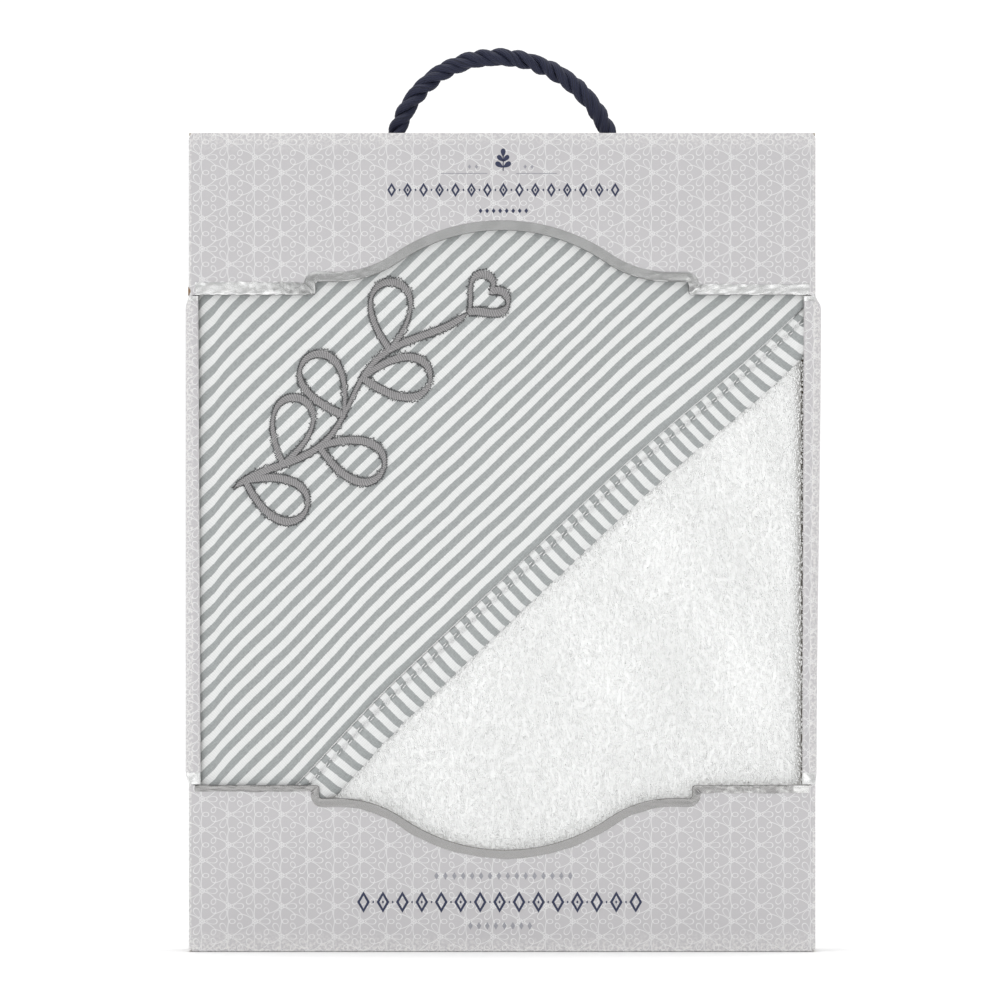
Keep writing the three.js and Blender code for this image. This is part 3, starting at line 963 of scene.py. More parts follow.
@dataclass
class Carton:
    """The creased and glued sleeve of the carton, with its base, foil and printed ornaments."""

    finishes: Finishes
    half_width: float = 120.0
    front: float = -22.3
    back: float = 22.5
    board: float = 0.8
    corner: float = 1.2
    rim: float = 313.5
    wall_top: float = 311.4
    back_top: float = 312.4
    floor: float = 1.1
    window: WindowShape = field(default_factory=WindowShape)
    rows: int = 9
    strip_roll: float = 1.25
    strip_ramp: float = 5.0
    strip_lap: float = 2.3
    roll_reach: float = 3.3
    roll_start: float = 3.45
    roll_depth: float = 3.5
    bulge_low: float = 0.5
    bulge_rise: float = 1.7
    left_inner: tuple = (115.4, 0.9)
    right_inner: tuple = (114.9, 0.6)
    base_back: float = 22.4
    foil_end: float = 117.6
    foil_dark_painted_rows: int = 7

    def build(self) -> None:
        """Builds and dresses every piece of the sleeve."""
        self.sleeve()
        for upper in (True, False):
            self.foil_trim(upper)
        for side in Side:
            self.foil_ends(side)
        self.torn_corner()
        Ornaments(self.finishes, self.front).build()
        kept = ["base_panel_inner", "base_dust_flap_left", "base_dust_flap_right"]
        for name in kept + ["glue_seam_tab", "insert_board"]:
            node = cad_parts[name]
            node.data.materials.clear()
            node.data.materials.append(self.finishes.raw)
            log.info("%s: kept from the CAD model, in raw board", name)

    def roll(self, z: Array) -> Array:
        """How far the strips beside the window are rolled, from 0 to 1, at each height."""
        near = np.minimum(z - self.window.bottom, self.window.top - z)
        return smoothstep(near, 0.0, self.strip_ramp)

    def section_at(self, side: Side, z: float) -> Array:
        """The section through one wall at one height.

        Args:
            side: which wall.
            z: the height.

        Returns:
            What `wall_section` gives there. The right wall bulges most at the top.
        """
        rise = float(smoothstep(z, self.window.bottom, self.window.top))
        out = self.bulge_low + self.bulge_rise * rise if side is Side.RIGHT else self.strip_roll
        return self.wall_section(float(self.roll(z)), out)

    def wall_section(self, rolled: float, out: float = 0.0) -> Array:
        """Half a section through the sleeve's left wall, from the back corner to the front.

        Args:
            rolled: how far the front corner is rolled, from 0 to 1.
            out: how far the rolled corner bulges out.

        Returns:
            X and Y of each point, with X as a positive distance from the middle.
        """
        inner = self.half_width - self.corner
        back = arc(inner, self.back - self.corner, self.corner, pi / 2, 0, 5)
        share = np.linspace(0, 1, 15)[1:-1]
        start, end = self.back - self.corner, self.front + self.corner
        side = [(self.half_width, start + (end - start) * s) for s in share]
        front = arc(inner, end, self.corner, 0, -pi / 2, 8)
        crisp = np.array(back + side + front)
        last = end + self.strip_lap
        bulge = [out * float(smoothstep(s, 0.3, 1.0)) for s in share]
        side = [(self.half_width + b, start + (last - start) * s) for b, s in zip(bulge, share)]
        angles = np.linspace(0, pi / 2, 9)
        reach = self.roll_reach
        across = [self.half_width + out - reach + reach * cos(a) for a in angles]
        front = list(zip(across, [self.front + self.roll_start - self.roll_depth * sin(a) for a in angles]))
        loose = np.array(back + side + front)
        return crisp + (loose - crisp) * rolled

    def wall(self, side: Side) -> list[Patch]:
        """One side wall, with the rolled strip beside the window.

        Args:
            side: which wall.

        Returns:
            Its patches.
        """
        window = self.window
        low = np.linspace(self.floor, window.bottom, self.rows)
        steps = np.concatenate([[0, 0.4, 1.0, 1.8, 2.8, 4.0, 5.5, 8, 12], np.linspace(18, 169.7, 26)])
        middle = np.concatenate([window.bottom + steps, window.top - steps[:9][::-1]])
        high = np.linspace(window.top, self.rim, self.rows)
        heights = np.concatenate([low[:-1], middle, high[1:]])
        sections = np.array([self.section_at(side, float(z)) for z in heights])
        straight = self.wall_section(0.0)
        crisp_length = float(np.linalg.norm(np.diff(straight, axis=0), axis=1).sum())
        count = len(straight)
        top = np.full(count, self.wall_top)
        top[-9:] = self.wall_top + (self.rim - self.wall_top) * smoothstep(np.linspace(0, 1, 9), 0.25, 1.0)
        top[:6] = self.back_top
        z = np.repeat(heights[:, None], count, 1)
        above = z > window.top
        higher = (z - window.top) * (top[None] - window.top) / (self.rim - window.top)
        z = np.where(above, window.top + higher, z)
        points = np.stack([side.value * sections[..., 0], sections[..., 1], z], -1)
        u = side.value * (window.half_end + crisp_length - self.along(sections))
        uv = np.stack([u, z], -1)
        wear = np.zeros(z.shape)
        wear[:, -7:-1] = 0.75
        wear[:, 1:5] = 0.6
        wear[-1] = 0.8
        wear[0] = 0.9
        patches = [Patch.grid(points, uv, wear)]
        inside = (heights >= window.bottom) & (heights <= window.top)
        patches.append(self.strip(side, heights[inside], sections[inside], u[inside, -1:]))
        return patches

    def along(self, rows: Array) -> Array:
        """The distance along each row of points, which keeps the print unstretched on rolled board."""
        spans = np.linalg.norm(np.diff(rows[..., :2], axis=1), axis=2)
        return np.concatenate([np.zeros((len(rows), 1)), np.cumsum(spans, axis=1)], 1)

    def strip(self, side: Side, heights: Array, sections: Array, start: Array | float = 0.0) -> Patch:
        """The front of the rolled strip beside the window.

        Args:
            side: which strip.
            heights: the rows' heights.
            sections: the wall's section at each of them.
            start: where the print stands on the wall's last points.

        Returns:
            The patch, which starts on the wall's last points.
        """
        rolled = self.roll(heights)
        lean = (heights - self.window.bottom) / (self.window.top - self.window.bottom)
        at, drift = self.left_inner if side is Side.LEFT else self.right_inner
        inner = at + drift * lean
        shape = [(0.0, 0.0), (0.22, -0.04), (0.46, 0.0), (0.7, 0.22), (0.88, 0.6), (0.98, 1.15), (1.0, 1.8)]
        slack = np.array([0.35 if z in (heights[0], heights[-1]) else 0.0 for z in heights])
        slack[-1] *= -1
        columns = []
        for k, (across, deep) in enumerate(shape):
            x = sections[:, -1, 0] + (inner - sections[:, -1, 0]) * across
            y = sections[:, -1, 1] + deep * (0.45 + 0.55 * rolled)
            columns.append(np.stack([side.value * x, y, heights + (slack if k else 0)], -1))
        points = np.stack(columns, 1)
        uv = np.stack([start - side.value * self.along(points), points[..., 2]], -1)
        wear = np.zeros(points.shape[:2])
        wear[:, 3:5] = 0.5
        wear[[0, -1]] = 1.0
        return Patch.grid(points, uv, wear)

    def front_panel(self, upper: bool) -> Patch:
        """The front above or below the window.

        Args:
            upper: whether it is the part above.

        Returns:
            The patch, whose end columns are the walls' last points.
        """
        edge = self.window.edge(0, upper)
        ends = np.linspace(0, 1, self.rows)
        far = edge[:, 0].copy()
        for sign in (-1, 1):
            steep = (sign * edge[:, 0] > 62) & (sign * edge[:, 0] < 78)
            chosen = edge[steep]
            length = lengths(chosen)
            far[steep] = chosen[0, 0] + (chosen[-1, 0] - chosen[0, 0]) * length / length[-1]
        limit = np.full(len(edge), self.rim if upper else self.floor)
        x = edge[:, 0] + (far - edge[:, 0]) * ends[:, None]
        z = edge[:, 1] + (limit - edge[:, 1]) * ends[:, None]
        y = np.full(x.shape, self.front)
        wear = np.zeros(x.shape)
        wear[-1] = 0.8
        if not upper:
            x, y, z, wear = (a[::-1] for a in (x, y, z, wear))
        points = np.stack([x, y, z], -1)
        return Patch.grid(points, np.stack([x, z], -1), wear)

    def base(self) -> Patch:
        """The outer base panel, which hangs from the crease under the front."""
        columns = self.front_panel(False).points.reshape(self.rows, -1, 3)[0, :, 0]
        turn = arc(self.front + self.floor, self.floor, self.floor, pi, 1.5 * pi, 5)
        flat = [(y, 0.0) for y in np.linspace(self.front + self.floor, self.base_back, 8)[1:]]
        path = np.array(turn + flat)
        x = np.repeat(columns[None], len(path), 0)
        y = np.repeat(path[:, 0:1], len(columns), 1)
        z = np.repeat(path[:, 1:2], len(columns), 1)
        length = lengths(path)
        wear = np.zeros(x.shape)
        wear[:6] = 0.8
        uv = np.stack([x, np.repeat(self.floor - length[:, None], len(columns), 1)], -1)
        return Patch.grid(np.stack([x, y, z], -1), uv, wear)

    def back_panel(self) -> Patch:
        """The plain back, between the two back corners."""
        columns = np.linspace(-1, 1, 25) * (self.half_width - self.corner)
        left = self.wall(Side.LEFT)[0]
        heights = left.points.reshape(-1, len(self.wall_section(0.0)), 3)[:, 0, 2]
        x, z = np.meshgrid(columns, heights)
        y = np.full(x.shape, self.back)
        half = self.window.half_end
        length = self.back - self.front + half
        wear = np.zeros(x.shape)
        wear[[0, -1]] = 0.8
        return Patch.grid(np.stack([x, y, z], -1), np.stack([length + half - x, z], -1), wear)

    def sleeve(self) -> None:
        """The whole sleeve and outer base as one sheet of board."""
        patches = [self.front_panel(True), self.front_panel(False), self.base(), self.back_panel()]
        for side in Side:
            patches += self.wall(side)
        obj = make_object("carton_sleeve", Patch.joined(patches), self.finishes.board, weld=True)
        lowest = min(obj.data.polygons, key=lambda p: p.center.y)
        if lowest.normal.y > 0:
            obj.data.flip_normals()
        thicken(obj, self.board, 40, 1)
        nodes = ["front_panel_top", "front_panel_bottom", "side_panel_left", "side_panel_right", "back_panel"]
        nodes += ["window_return_left", "window_return_right", "base_panel_outer"]
        seat(obj, Body.CARTON, tuple(nodes))

    def foil_trim(self, upper: bool) -> None:
        """The foil that edges the window, crumpled on its straight ends and smooth on the hump, with painted
        highlights and a painted dark edge line.

        Args:
            upper: whether it is the upper trim.
        """
        rng = np.random.default_rng(11 if upper else 12)
        fine = WindowShape(half_end=self.foil_end, straight_steps=46)
        middle = fine.edge(0, upper)
        x = middle[:, 0]
        end = smoothstep(np.abs(x), 69.0, 73.0)
        if upper:
            width = 3.8 + end * np.where(x < 0, 1.1, 0.3) + 0.25 * ripple(x, 0 * x, 5, 7.0) * end
        else:
            width = 3.3 - end * np.where(x < 0, 0.9, 0.3) + 0.2 * ripple(x, 0 * x, 6, 9.0)
        crumple = np.where(np.abs(x) > 69, 1.0, smoothstep(np.abs(x), 30, 66) * 0.5) * (1.0 if upper else 0.3)
        section = [(0.9, 0.98), (-0.02, 0.98), (-0.06, 0.8), (-0.07, 0.3), (-0.05, 0.02), (0.06, -0.07)]
        section += [(s, -0.08) for s in (0.09, 0.13, 0.5, 1.0)]
        section += [(-s, -0.08) for s in (0.5, 0.68, 0.84, 1.0)]
        curves = {}
        rows = []
        for k, (across, deep) in enumerate(section):
            wide = np.full(len(x), across) if across > -0.3 else -across * width
            row = np.zeros((len(x), 3))
            for i, w in enumerate(np.round(wide, 2)):
                if w not in curves:
                    curves[w] = fine.edge(float(w), upper)
                row[i, [0, 2]] = curves[w][i]
            lift = rng.uniform(-1, 1, len(x)) * 0.17 * crumple * (1 if k > 4 else 0.4)
            row[:, 1] = self.front + deep + np.where(deep < 0.5, -np.abs(lift) * 0.9 + lift * 0.1, lift)
            if 7 < k < len(section) - 1:
                row[:, 0] += rng.uniform(-0.35, 0.35, len(x)) * crumple * (np.abs(np.abs(x) - 71) > 2.2)
            rows.append(row)
        points = np.array(rows)
        uv = points[..., [0, 2]].copy()
        uv[..., 1] += points[..., 1]
        name = "foil_trim_upper" if upper else "foil_trim_lower"
        # Painted highlight: how bright the foil is painted along the window, as well as how crinkled its
        # bumps are.
        left, right = smoothstep(-x, 66.0, 112.0), smoothstep(x, 62.0, 80.0)
        if upper:
            shine = 1.05 * left + 0.25 * smoothstep(-x, 58, 70) + 0.8 * right
        else:
            shine = 0.14 * left + 0.4 * right + 0.7 * smoothstep(x, 110.0, 114.0)
        shine = np.repeat(shine[None], len(points), 0)
        # Painted shade: the turned rows at the cut edge are painted dark.
        shine[: self.foil_dark_painted_rows] = -1.0
        # The lower trim takes the darker copy, painted shade.
        foil = self.finishes.foil if upper else self.finishes.shaded_foil
        obj = make_object(name, Patch.grid(points, uv, shine), [foil])
        flat = np.zeros(len(obj.data.polygons), bool)
        for i, p in enumerate(obj.data.polygons):
            flat[i] = abs(p.center.x) < (0.0695 if upper else 0.072)
        obj.data.polygons.foreach_set("use_smooth", flat)
        flip_towards(obj, (0, -1, 0))
        thicken(obj, 0.05, 80)
        seat(obj, Body.CARTON, ("foil_trim_top" if upper else "foil_trim_bottom",))

    def foil_ends(self, side: Side) -> None:
        """The scraps of foil that wrap the two ends of a rolled strip, painted with a steady highlight.

        Args:
            side: which strip.
        """
        rng = np.random.default_rng(21 + side.value)
        patches = []
        window = self.window
        for low, high in ((window.top - 2.3, window.top - 0.3), (window.bottom + 0.35, window.bottom + 4.9)):
            heights = np.linspace(low, high, 5 if high > 100 else 8)
            sections = np.array([self.section_at(side, float(z)) for z in heights])
            strip = self.strip(side, heights, sections).points.reshape(len(heights), -1, 3)
            strip[..., 2] = heights[:, None]
            levels = np.repeat(heights[:, None], 5, 1)
            corner = np.stack([side.value * sections[:, -6:-1, 0], sections[:, -6:-1, 1], levels], -1)
            points = np.concatenate([corner, strip], 1)
            out = points - np.array([side.value * 116.8, -19.0, 0])
            out[..., 2] = 0
            out /= np.linalg.norm(out, axis=2, keepdims=True)
            points = points + out * (0.07 + 0.1 * rng.random(points.shape[:2])[..., None])
            # The value 0.7 paints the scraps with the foil's highlight colour.
            patches.append(Patch.grid(points, points[..., [0, 2]], np.full(points.shape[:2], 0.7)))
        name = f"foil_scraps_{side.name.lower()}"
        obj = make_object(name, Patch.joined(patches), [self.finishes.foil], smooth=False)
        flip_towards(obj, (0, -1, 0))
        thicken(obj, 0.05, 80)
        seat(obj, Body.CARTON)

    def torn_corner(self) -> None:
        """The small tear at the top of the left strip, where the raw board shows."""
        rng = np.random.default_rng(31)
        rows, columns = 9, 7
        t, s = np.meshgrid(np.linspace(0, 1, rows), np.linspace(0, 1, columns), indexing="ij")
        width = 1.1 * np.sin(pi * np.clip(t, 0.02, 0.98)) ** 0.7
        angle = pi + 0.1 + s * width
        radius = 1.35 + 0.14 * rng.random(t.shape)
        x, y = -118.8 + radius * np.cos(angle), -21.1 + radius * np.sin(angle)
        points = np.stack([x, y, 251.2 + 3.4 * t], -1)
        patch = Patch.grid(points, points[..., [0, 2]])
        obj = make_object("torn_board_corner", patch, [self.finishes.torn], smooth=False)
        flip_towards(obj, (-1, -1, 0))
        thicken(obj, 0.15, 50)
        seat(obj, Body.CARTON)


@dataclass
class Ornaments:
    """Printed rows of small lozenges, rules and a sprig, above and below the window."""

    finishes: Finishes
    face: float
    lift: float = 0.05

    def build(self) -> None:
        """Prints both blocks."""
        navy, grey = self.finishes.navy, self.finishes.grey
        self.row("printed_ornament_name", navy, self.lozenges(-44.0, 45.0, 291.7, 5.5, 15, 3.4, 0.75))
        self.row("printed_ornament_small_upper", navy, self.lozenges(-9.0, 10.0, 283.7, 2.0, 8, 1.5, 0.0))
        rules = [self.bar(-23.4, -5.6, 298.0, 0.3), self.bar(5.4, 21.0, 298.0, 0.3)]
        dots = [self.lozenge(x, 300.6, 1.3, 1.7) for x in (-12.5, -9.8, 8.8, 11.5)]
        self.row("printed_rules", grey, rules + dots)
        self.row("printed_sprig", navy, self.sprig(0.4, 299.0, 8.4))
        self.row("printed_ornament_main", navy, self.lozenges(-55.5, 53.6, 19.1, 8.2, 15, 4.9, 0.95))
        self.row("printed_ornament_small", grey, self.lozenges(-26.0, 27.0, 29.1, 3.0, 16, 1.8, 0.0))
        self.row("printed_ornament_foot", grey, self.lozenges(-13.0, 11.5, 10.0, 3.0, 8, 1.8, 0.0))

    def lozenges(
        self, left: float, right: float, z: float, height: float, count: int, width: float, stroke: float
    ) -> list:
        """A row of lozenges with a dot between each pair where they are outlined.

        Args:
            left: the row's left end.
            right: its right end.
            z: its height on the face.
            height: a lozenge's height.
            count: how many.
            width: a lozenge's width.
            stroke: the outline's width, or 0 for filled ones.

        Returns:
            The outlines, each as X, Z points.
        """
        shapes = []
        places = np.linspace(left + width / 2, right - width / 2, count)
        for i, x in enumerate(places):
            if not stroke:
                shapes.append(self.lozenge(x, z, width, height))
                continue
            outer = np.array(self.lozenge(x, z, width, height))
            inner = np.array(self.lozenge(x, z, width - 2.3 * stroke, height - 3.4 * stroke))
            for a in range(4):
                b = (a + 1) % 4
                shapes.append([outer[a], outer[b], inner[b], inner[a]])
            if i % 2:
                shapes.append(self.lozenge(x, z, 0.9, 1.4))
            if i + 1 < count:
                shapes.append(self.lozenge((x + places[i + 1]) / 2, z, 0.8, 1.1))
        return shapes

    def lozenge(self, x: float, z: float, width: float, height: float) -> list:
        """A filled lozenge's corners."""
        return [(x - width / 2, z), (x, z - height / 2), (x + width / 2, z), (x, z + height / 2)]

    def bar(self, left: float, right: float, z: float, height: float) -> list:
        """A thin rule from left to right."""
        low, high = z - height / 2, z + height / 2
        return [(left, low), (right, low), (right, high), (left, high)]

    def sprig(self, x: float, z: float, height: float) -> list:
        """A stem with two pairs of leaves and a top leaf.

        Args:
            x: the stem's foot.
            z: the stem's foot.
            height: the sprig's height.

        Returns:
            The outlines.
        """
        shapes = [self.bar(x - 0.2, x + 0.2, z + height * 0.35, height * 0.7)]
        leaves = ((0.15, 55, 0.42), (0.15, -55, 0.42), (0.42, 42, 0.38), (0.42, -42, 0.38), (0.62, 0, 0.4))
        for rise, turn, size in leaves:
            a = np.linspace(0, 2 * pi, 20, endpoint=False)
            along = height * size * (0.5 - 0.5 * np.cos(a))
            across = height * size * 0.36 * np.sin(a) * np.sin(a / 2)
            lean = radians(turn)
            dx = along * sin(lean) + across * cos(lean)
            dz = along * cos(lean) - across * sin(lean)
            shapes.append(list(zip(x + dx, z + height * rise + dz)))
        return shapes

    def row(self, name: str, ink: Material, shapes: list) -> None:
        """Prints a set of filled outlines.

        Args:
            name: the piece's name.
            ink: its material.
            shapes: the outlines.
        """
        points, faces = [], []
        for shape in shapes:
            faces.append(list(range(len(points), len(points) + len(shape))))
            points += [(x, self.face - self.lift, z) for x, z in shape]
        flat = np.array(points, float)
        obj = make_object(name, Patch(flat, faces, flat[:, [0, 2]]), [ink], smooth=False)
        for p in obj.data.polygons:
            if p.normal.y > 0:
                p.flip()
        thicken(obj, self.lift - 0.01, 30)
        seat(obj, Body.CARTON)


# ---- lid


@dataclass
class Lid:
    """The tuck lid: its panel and tongue in one sheet, its creases and the two dust flaps."""

    finishes: Finishes
    half_width: float = 119.9
    top: float = 313.5
    front: float = -21.2
    crease_front: float = -20.2
    crease_back: float = 21.4
    crease: float = 1.1
    board: float = 0.8
    tongue_half: float = 113.2
    tongue_length: float = 16.0
    tongue_lean: float = 12.5
    tongue_corner: float = 6.0
    hole_x: float = 40.65
    hole_radius: float = 4.0
    flap_crease: float = 119.0
    flap_tip: float = 79.0
    flap_front: float = -17.0
    flap_back: float = 19.7
    flap_tip_back: float = -0.3
    flap_level: float = 312.4
    crease_half: float = 118.8

    def build(self) -> None:
        """Builds and dresses the lid."""
        self.panel()
        self.lid_crease()
        for side in Side:
            self.flap(side)

    def panel(self) -> None:
        """The lid's panel with its two rope holes, the front crease and the tongue."""
        half, tongue = self.half_width, self.tongue_half
        edge = [(x, self.crease_front) for x in np.linspace(-tongue, tongue, 41)]
        notch = [(tongue + 0.5, self.crease_front), (tongue + 0.8, self.front)]
        right = arc(half - 1.4, self.front + 1.4, 1.4, -pi / 2, 0, 4) + [(half, self.crease_back)]
        left = [(-x, y) for x, y in reversed(right)]
        outline = edge + notch + right + left + [(-x, y) for x, y in reversed(notch)]
        holes = [arc(x, 0, self.hole_radius, 0, 2 * pi, 40)[:-1] for x in (-self.hole_x, self.hole_x)]
        rings = [outline] + holes
        triangles = tessellate_polygon([[Vector((x, y, 0)) for x, y in ring] for ring in rings])
        flat = np.array([p for ring in rings for p in ring])
        points = np.column_stack([flat, np.full(len(flat), self.top)])
        wear = np.zeros(len(flat))
        wear[:41] = 0.9
        top = Patch(points, [list(t) for t in triangles], flat.copy(), wear)
        patches = [top, self.tongue(np.linspace(-tongue, tongue, 41))]
        obj = make_object("lid_with_tongue", Patch.joined(patches), self.finishes.board, weld=True)
        flip_towards(obj, (0, 0, 1))
        thicken(obj, self.board, 35, 1)
        seat(obj, Body.LID, ("lid_panel", "lid_tuck_tongue"))

    def tongue(self, columns: Array) -> Patch:
        """The front crease and the tongue below it.

        Args:
            columns: X of its points along the crease.

        Returns:
            The patch.
        """
        lean = radians(self.tongue_lean)
        turn = arc(self.crease_front, self.top - self.crease, self.crease, pi / 2, pi, 6)
        foot = turn[-1]
        drops = np.linspace(0, self.tongue_length, 12)[1:]
        path = turn + [(foot[0] + d * sin(lean), foot[1] - d * cos(lean)) for d in drops]
        length = lengths(np.array(path))
        rows = []
        for (y, z), down in zip(path, length):
            left = max(0.0, down - (length[-1] - self.tongue_corner))
            narrow = self.tongue_corner - sqrt(max(self.tongue_corner**2 - left**2, 0.0))
            x = columns * (self.tongue_half - narrow) / self.tongue_half
            rows.append(np.stack([x, np.full(len(x), y), np.full(len(x), z)], -1))
        points = np.array(rows)
        wear = np.zeros(points.shape[:2])
        wear[:6] = 0.9
        uv = np.stack([points[..., 0], np.repeat(-21.0 - length[:, None], len(columns), 1)], -1)
        return Patch.grid(points, uv, wear)

    def lid_crease(self) -> None:
        """The crease that joins the lid to the back panel."""
        turn = arc(self.crease_back, self.top - self.crease, self.crease, 0, pi / 2, 8)
        columns = np.linspace(-self.crease_half, self.crease_half, 13)
        points = np.array([[(x, y, z) for x in columns] for y, z in turn])
        uv = np.stack([points[..., 0], points[..., 2] + 300], -1)
        patch = Patch.grid(points, uv, np.full(points.shape[:2], 0.9))
        obj = make_object("lid_crease", patch, self.finishes.board)
        flip_towards(obj, (0, 1, 1))
        thicken(obj, self.board, 60, 1)
        hinge_fabric(obj, (Body.CARTON, Body.LID))

    def flap(self, side: Side) -> None:
        """A dust flap and the crease it hangs from.

        Args:
            side: which flap.
        """
        level = self.flap_level
        corners = [(self.flap_crease, self.flap_front), (self.flap_crease, self.flap_back)]
        corners += [(self.flap_tip + 3, self.flap_tip_back + 1.5)]
        corners += arc(self.flap_tip + 3, self.flap_tip_back - 2.4, 3.0, pi / 2, pi, 5)
        corners += arc(self.flap_tip + 5, self.flap_front + 5, 5.0, pi, 1.5 * pi, 6)
        flat = np.array([(side.value * x, y) for x, y in corners])
        points = np.column_stack([flat, np.full(len(flat), level)])
        patch = Patch(points, [list(range(len(flat)))], flat.copy(), np.zeros(len(flat)))
        name = side.name.lower()
        obj = make_object(f"dust_flap_{name}", patch, self.finishes.board)
        flip_towards(obj, (0, 0, 1))
        thicken(obj, self.board, 35, 1)
        body = Body.LEFT_FLAP if side is Side.LEFT else Body.RIGHT_FLAP
        seat(obj, body, (f"lid_dust_flap_{name}",))
        turn = arc(self.flap_crease, level - 1.0, 1.0, 0, pi / 2, 8)
        rows = np.linspace(self.flap_front, self.flap_back, 9)
        bent = np.array([[(side.value * x, y, z) for y in rows] for x, z in turn])
        uv = np.stack([bent[..., 1], bent[..., 2]], -1)
        crease = make_object(
            f"dust_flap_crease_{name}",
            Patch.grid(bent, uv, np.full(bent.shape[:2], 0.9)),
            self.finishes.board,
        )
        flip_towards(crease, (side.value, 0, 1))
        thicken(crease, self.board, 60, 1)
        hinge_fabric(crease, (Body.CARTON, body))


# ---- rope handle


@dataclass
class RopeHandle:
    """A three-strand twisted rope that arches over the lid and is knotted under it."""

    finishes: Finishes
    diameter: float = 6.8
    lay: float = 19.6
    arc_radius: float = 42.9
    arc_centre: float = 300.4
    low_angle: float = 15.5
    leg: float = 3.0
    lopsided: float = 2.0
    knot_height: float = 303.4
    bend_start: float = 313.9
    bend_length: float = 9.0

    def build(self) -> None:
        """Builds and dresses the rope and its two knots."""
        path = self.arch()
        obj = self.twisted("twisted_rope_handle", path, self.diameter, (0.0, -1.0, 0.0))
        hinge_fabric(obj, (Body.LID, Body.HANDLE))
        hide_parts("handle_rope")
        knots = [self.knot(side) for side in Side]

    def arch(self) -> Array:
        """The rope's centreline, from the left leg over to the right one."""
        low = radians(self.low_angle)
        curve = arc(0, self.arc_centre, self.arc_radius, pi - low, low, 180)
        x, z = curve[-1]
        drops = np.linspace(self.leg, 0, 6)[:-1]
        right = [(x + d * sin(low) * 0.4, z - d) for d in drops]
        left = [(-a, b) for a, b in right]
        line = np.array(left + curve + right[::-1])
        share = np.linspace(0, 1, len(line))
        line[:, 0] -= self.lopsided * np.sin(pi * share) ** 2
        return np.stack([line[:, 0], np.zeros(len(line)), line[:, 1]], -1)

    def strand_points(self, path: Array, diameter: float, start: tuple, strand: int, sides: int) -> Array:
        """One strand of a rope.

        Args:
            path: the rope's centreline.
            diameter: the rope's diameter.
            start: a direction across the rope's first point.
            strand: 0, 1 or 2.
            sides: points round the strand.

        Returns:
            points x sides x 3.
        """
        along = np.gradient(path, axis=0)
        along /= np.linalg.norm(along, axis=1, keepdims=True)
        across = np.zeros_like(path)
        current = np.array(start, float)
        for i, t in enumerate(along):
            current = current - t * float(current @ t)
            current /= np.linalg.norm(current)
            across[i] = current
        other = np.cross(across, along)
        length = lengths(path)
        wander = 0.28 * np.sin(length * 0.21 + strand * 2.1) + 0.18 * np.sin(length * 0.47 + strand)
        turn = 2 * pi * (length / self.lay + strand / 3) + wander
        away = diameter * 0.266
        radial = other * np.cos(turn)[:, None] + across * np.sin(turn)[:, None]
        centre = path + radial * away
        tangent = np.gradient(centre, axis=0)
        tangent /= np.linalg.norm(tangent, axis=1, keepdims=True)
        side = np.cross(tangent, radial)
        side /= np.linalg.norm(side, axis=1, keepdims=True)
        angle = np.arange(sides) * 2 * pi / sides
        uneven = 1 + 0.035 * np.sin(length * 0.9 + strand * 1.7)[:, None]
        half = smoothstep(length / length[-1], 0.35, 0.7)[:, None]
        ridge = (0.018 + 0.04 * half) * np.cos(4 * angle[None] + length[:, None] * 0.55 + strand)
        fine = 0.02 * np.cos(11 * angle[None] - length[:, None] * 0.8)
        size = (uneven + ridge + fine)[..., None]
        deep, wide = diameter * 0.246, diameter * 0.262
        ring = radial[:, None] * np.cos(angle)[:, None] * deep + side[:, None] * np.sin(angle)[:, None] * wide
        return centre[:, None] + ring * size

    def twisted(self, name: str, path: Array, diameter: float, start: tuple) -> Object:
        """A rope of three strands with rounded ends.

        Args:
            name: the piece's name.
            path: its centreline.
            diameter: its diameter.
            start: a direction across its first point.

        Returns:
            The rope.
        """
        sides = 30
        patches = []
        length = lengths(path)
        for strand in range(3):
            points = self.strand_points(path, diameter, start, strand, sides)
            uv = np.zeros((*points.shape[:2], 2))
            uv[..., 0] = np.arange(sides) / sides * 6
            uv[..., 1] = length[:, None]
            patch = Patch.grid(points, uv, wrap=True)
            for end, inward in ((0, 1), (len(points) - 1, -1)):
                ring = list(range(end * sides, end * sides + sides))
                patch.faces.append(ring[::-1] if inward > 0 else ring)
            patches.append(patch)
        return make_object(name, Patch.joined(patches), [self.finishes.rope])

    def knot(self, side: Side) -> Object:
        """An overhand knot under the lid, with the rope's leg up through the hole and a short tail.

        Args:
            side: which knot.

        Returns:
            The knot.
        """
        t = np.linspace(0.42, 2 * pi - 0.42, 60) + pi
        across, up = np.sin(t) + 2 * np.sin(2 * t), np.cos(t) - 2 * np.cos(2 * t)
        flat = np.stack([across, up, -1.15 * np.sin(3 * t)], -1)
        flat *= np.array([2.15, 2.15, 2.6])
        first, last = flat[0], flat[-1]
        lead = np.array([[0.4, 0.0, 9.6], [0.5, -0.2, 7.6], [first[0] * 0.45, first[1] * 0.5, 5.2]])
        tail = np.array([[last[0] * 0.8, last[1] * 0.9, -4.6], [last[0] * 0.6, last[1] * 0.8, -7.4]])
        line = np.concatenate([lead, flat, tail])
        for _ in range(4):
            inner = (line[:-2] + 2 * line[1:-1] + line[2:]) / 4
            line = np.concatenate([line[:1], inner, line[-1:]])
        step = lengths(line)
        even = np.linspace(0, step[-1], 170)
        line = np.stack([np.interp(even, step, line[:, k]) for k in range(3)], 1)
        line = line * np.array([side.value, 1, 1]) + np.array([side.value * 40.3, 0, self.knot_height])
        obj = self.twisted(f"overhand_knot_{side.name.lower()}", line, 4.7, (0.0, -1.0, 0.0))
        return seat(obj, Body.LID, (f"rope_knot_{side.name.lower()}",))


# ---- folded towel


